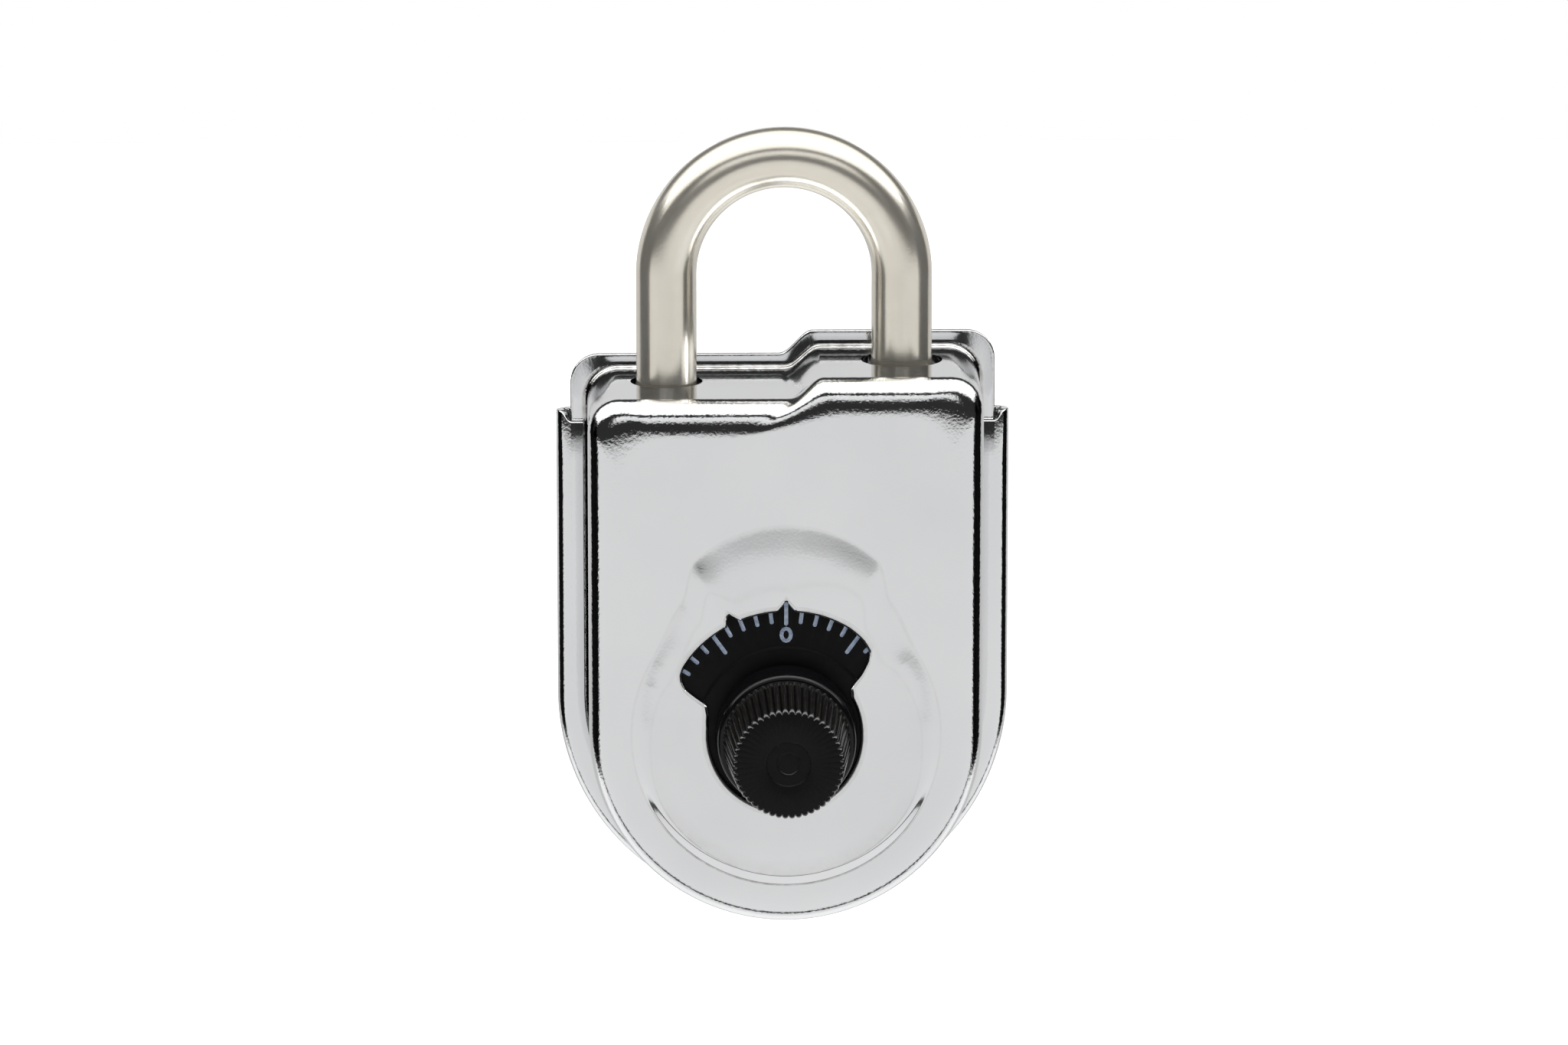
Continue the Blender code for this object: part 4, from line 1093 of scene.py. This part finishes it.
def make_dial_marks(ticks, numerals):
    """White paint in the engraved marks."""
    marks = [paint_stroke(a, b, MARK_HALF - PAINT_GAP) for a, b in ticks]
    marks += [paint_stroke(a, b, MARK_HALF * NUMERAL_LINE - PAINT_GAP) for a, b in numerals]
    paint = make_object("dial_marks", join_meshes("dial_marks", marks), "dial")
    paint.data.materials.append(PAINT)


def make_dial_collar():
    """The smooth collar between the plate and the knob."""
    back = DIAL_BACK + 0.02
    front = COLLAR_SIDE[-1][1]
    profile = [(RUN_R, back), (8.8, back), *COLLAR_SIDE, (RUN_R, front), (RUN_R, back)]
    collar = make_object("dial_collar", turned("dial_collar", rounded(profile, 0.22)), "dial")
    collar.data.materials.append(COLLAR_BLACK)


def knob_profile():
    """The knob's ribbed side, its face with a ringed recess, and its hollow for the spindle."""
    front, back = KNOB_R
    low, high = KNOB_DEPTHS
    floor = KNOB_FACE - RECESS_DEEP
    crest = KNOB_FACE - RECESS_RING_DEEP
    profile = [(RUN_R, KNOB_BACK), (back - 0.1, KNOB_BACK)]
    profile += [(back + (front - back) * i / 24, low + 0.01 + (high - low) * i / 24) for i in range(25)]
    profile += [(front - 0.05, KNOB_FACE - 0.34), (front - 0.3, KNOB_FACE - 0.10), (front - 0.62, KNOB_FACE)]
    profile += [(RECESS_R + 0.30, KNOB_FACE), (RECESS_R + 0.12, KNOB_FACE - 0.06), (RECESS_R, floor)]
    profile += [(1.6, floor), (1.52, crest), (1.38, crest), (1.3, floor), (0.0, floor)]
    return profile + [(0.0, KNOB_FLOOR), (RUN_R, KNOB_FLOOR), (RUN_R, KNOB_BACK)]


def make_dial_knob():
    """The knurled knob, with a duller black on its flat face and in its recess."""
    mesh = turned("dial_knob", knob_profile(), KNURLS * 14, knurl)
    knob = make_object("dial_knob", mesh, "dial")
    knob.data.materials.append(KNOB_BLACK)
    knob.data.materials.append(SATIN_BLACK)
    for polygon in knob.data.polygons:
        if polygon.normal.y < -0.9 and polygon.center.y < -(KNOB_FACE - 0.5) * MM:
            polygon.material_index = 1


def make_dial():
    """Graduated plate with painted marks, collar and knurled knob, all on the dial's body."""
    ticks, numerals = mark_strokes()
    make_dial_plate(ticks, numerals)
    make_dial_marks(ticks, numerals)
    make_dial_collar()
    make_dial_knob()


# ---------------- stage

def make_stage():
    """The camera, and a plain pale floor under everything that moves."""
    camera = bpy.data.objects.new("camera", bpy.data.cameras.new("camera"))
    bpy.context.scene.collection.objects.link(camera)
    elevation = math.radians(CAMERA_ELEVATION)
    azimuth = math.radians(CAMERA_AZIMUTH)
    towards = Vector((math.sin(azimuth) * math.cos(elevation), -math.cos(azimuth) * math.cos(elevation),
                      math.sin(elevation)))
    camera.location = AIM + towards * CAMERA_DISTANCE
    camera.rotation_euler = (-towards).to_track_quat("-Z", "Y").to_euler()
    camera.data.lens = LENS
    camera.data.shift_y = SHIFT_UP
    camera.data.clip_start = 0.01
    bpy.context.scene.camera = camera

    slide = next(j for j in frame["joints"] if j["name"] == "cover_slide")
    level = COVER_UP[0] * MM - slide["range_m"][1] - FLOOR_BELOW
    shape = bmesh.new()
    corners = [(-FLOOR_HALF, -FLOOR_FRONT), (FLOOR_HALF, -FLOOR_FRONT), (FLOOR_HALF, FLOOR_FRONT),
               (-FLOOR_HALF, FLOOR_FRONT)]
    shape.faces.new([shape.verts.new((x, y, level)) for x, y in corners])
    mesh = bpy.data.meshes.new("floor")
    shape.to_mesh(mesh)
    shape.free()
    floor = bpy.data.objects.new("floor", mesh)
    bpy.context.scene.collection.objects.link(floor)
    paint = bpy.data.materials.new("floor_paint")
    paint.use_nodes = True
    shader = paint.node_tree.nodes["Principled BSDF"]
    shader.inputs["Base Color"].default_value = (0.9, 0.9, 0.9, 1.0)
    shader.inputs["Roughness"].default_value = 0.9
    shader.inputs["Emission Color"].default_value = (1.0, 1.0, 1.0, 1.0)
    shader.inputs["Emission Strength"].default_value = 0.35
    mesh.materials.append(paint)
    floor.visible_glossy = False


def bands(tree, share, stops):
    """Brightness from (degrees, level) stops, at a share of the way round from -180 to 180 degrees."""
    ramp = tree.nodes.new("ShaderNodeValToRGB")
    tree.links.new(share, ramp.inputs["Fac"])
    elements = ramp.color_ramp.elements
    for degrees, value in stops:
        ends = {-180: elements[0], 180: elements[-1]}
        element = ends.get(degrees) or elements.new(0.5 + degrees / 360)
        level = value / WORLD_SCALE
        element.color = (level, level, level, 1.0)
    return ramp.outputs["Color"]


def fade(tree, value, start, end, low=0.0, high=1.0):
    """A smooth change from low to high while the value goes from start to end."""
    made = tree.nodes.new("ShaderNodeMapRange")
    made.interpolation_type = "SMOOTHSTEP"
    for socket, number in zip(("From Min", "From Max", "To Min", "To Max"), (start, end, low, high)):
        made.inputs[socket].default_value = number
    tree.links.new(value, made.inputs["Value"])
    return made.outputs["Result"]


def make_world():
    """Walls of light and dark bands that the object mirrors, while the camera itself sees plain white."""
    world = bpy.data.worlds.new("studio")
    bpy.context.scene.world = world
    world.use_nodes = True
    tree = world.node_tree
    coords = tree.nodes.new("ShaderNodeTexCoord")
    parts = tree.nodes.new("ShaderNodeSeparateXYZ")
    tree.links.new(coords.outputs["Generated"], parts.inputs[0])

    front = math_node(tree, "MULTIPLY", parts.outputs["Y"], -1.0)
    angle = math_node(tree, "ARCTAN2", parts.outputs["Z"], front)
    share = math_node(tree, "ADD", math_node(tree, "DIVIDE", angle, math.tau), 0.5)
    middle = bands(tree, share, BELOW + AHEAD + ABOVE)
    flank = bands(tree, share, BELOW + ABOVE)
    width = math_node(tree, "ABSOLUTE", parts.outputs["X"])
    mix = tree.nodes.new("ShaderNodeMix")
    mix.data_type = "RGBA"
    tree.links.new(fade(tree, width, 0.34, 0.50), mix.inputs["Factor"])
    tree.links.new(middle, mix.inputs[6])
    tree.links.new(flank, mix.inputs[7])
    behind = math_node(tree, "MULTIPLY", math_node(tree, "MAXIMUM", parts.outputs["Y"], 0.0), 0.1)
    strength = fade(tree, math_node(tree, "ADD", width, behind), 0.88, 0.925, WORLD_SCALE, 0.05)
    background = tree.nodes["Background"]
    tree.links.new(strength, background.inputs["Strength"])
    tree.links.new(mix.outputs[2], background.inputs["Color"])

    plain = tree.nodes.new("ShaderNodeBackground")
    plain.inputs["Color"].default_value = (1.0, 1.0, 1.0, 1.0)
    plain.inputs["Strength"].default_value = 1.0
    path = tree.nodes.new("ShaderNodeLightPath")
    seen = tree.nodes.new("ShaderNodeMixShader")
    tree.links.new(path.outputs["Is Camera Ray"], seen.inputs[0])
    tree.links.new(background.outputs[0], seen.inputs[1])
    tree.links.new(plain.outputs[0], seen.inputs[2])
    tree.links.new(seen.outputs[0], tree.nodes["World Output"].inputs["Surface"])


make_stage()
make_world()
bpy.context.scene.view_settings.view_transform = "Standard"
finish_cad_nodes()
make_case()
make_cover()
make_shackle()
make_dial()
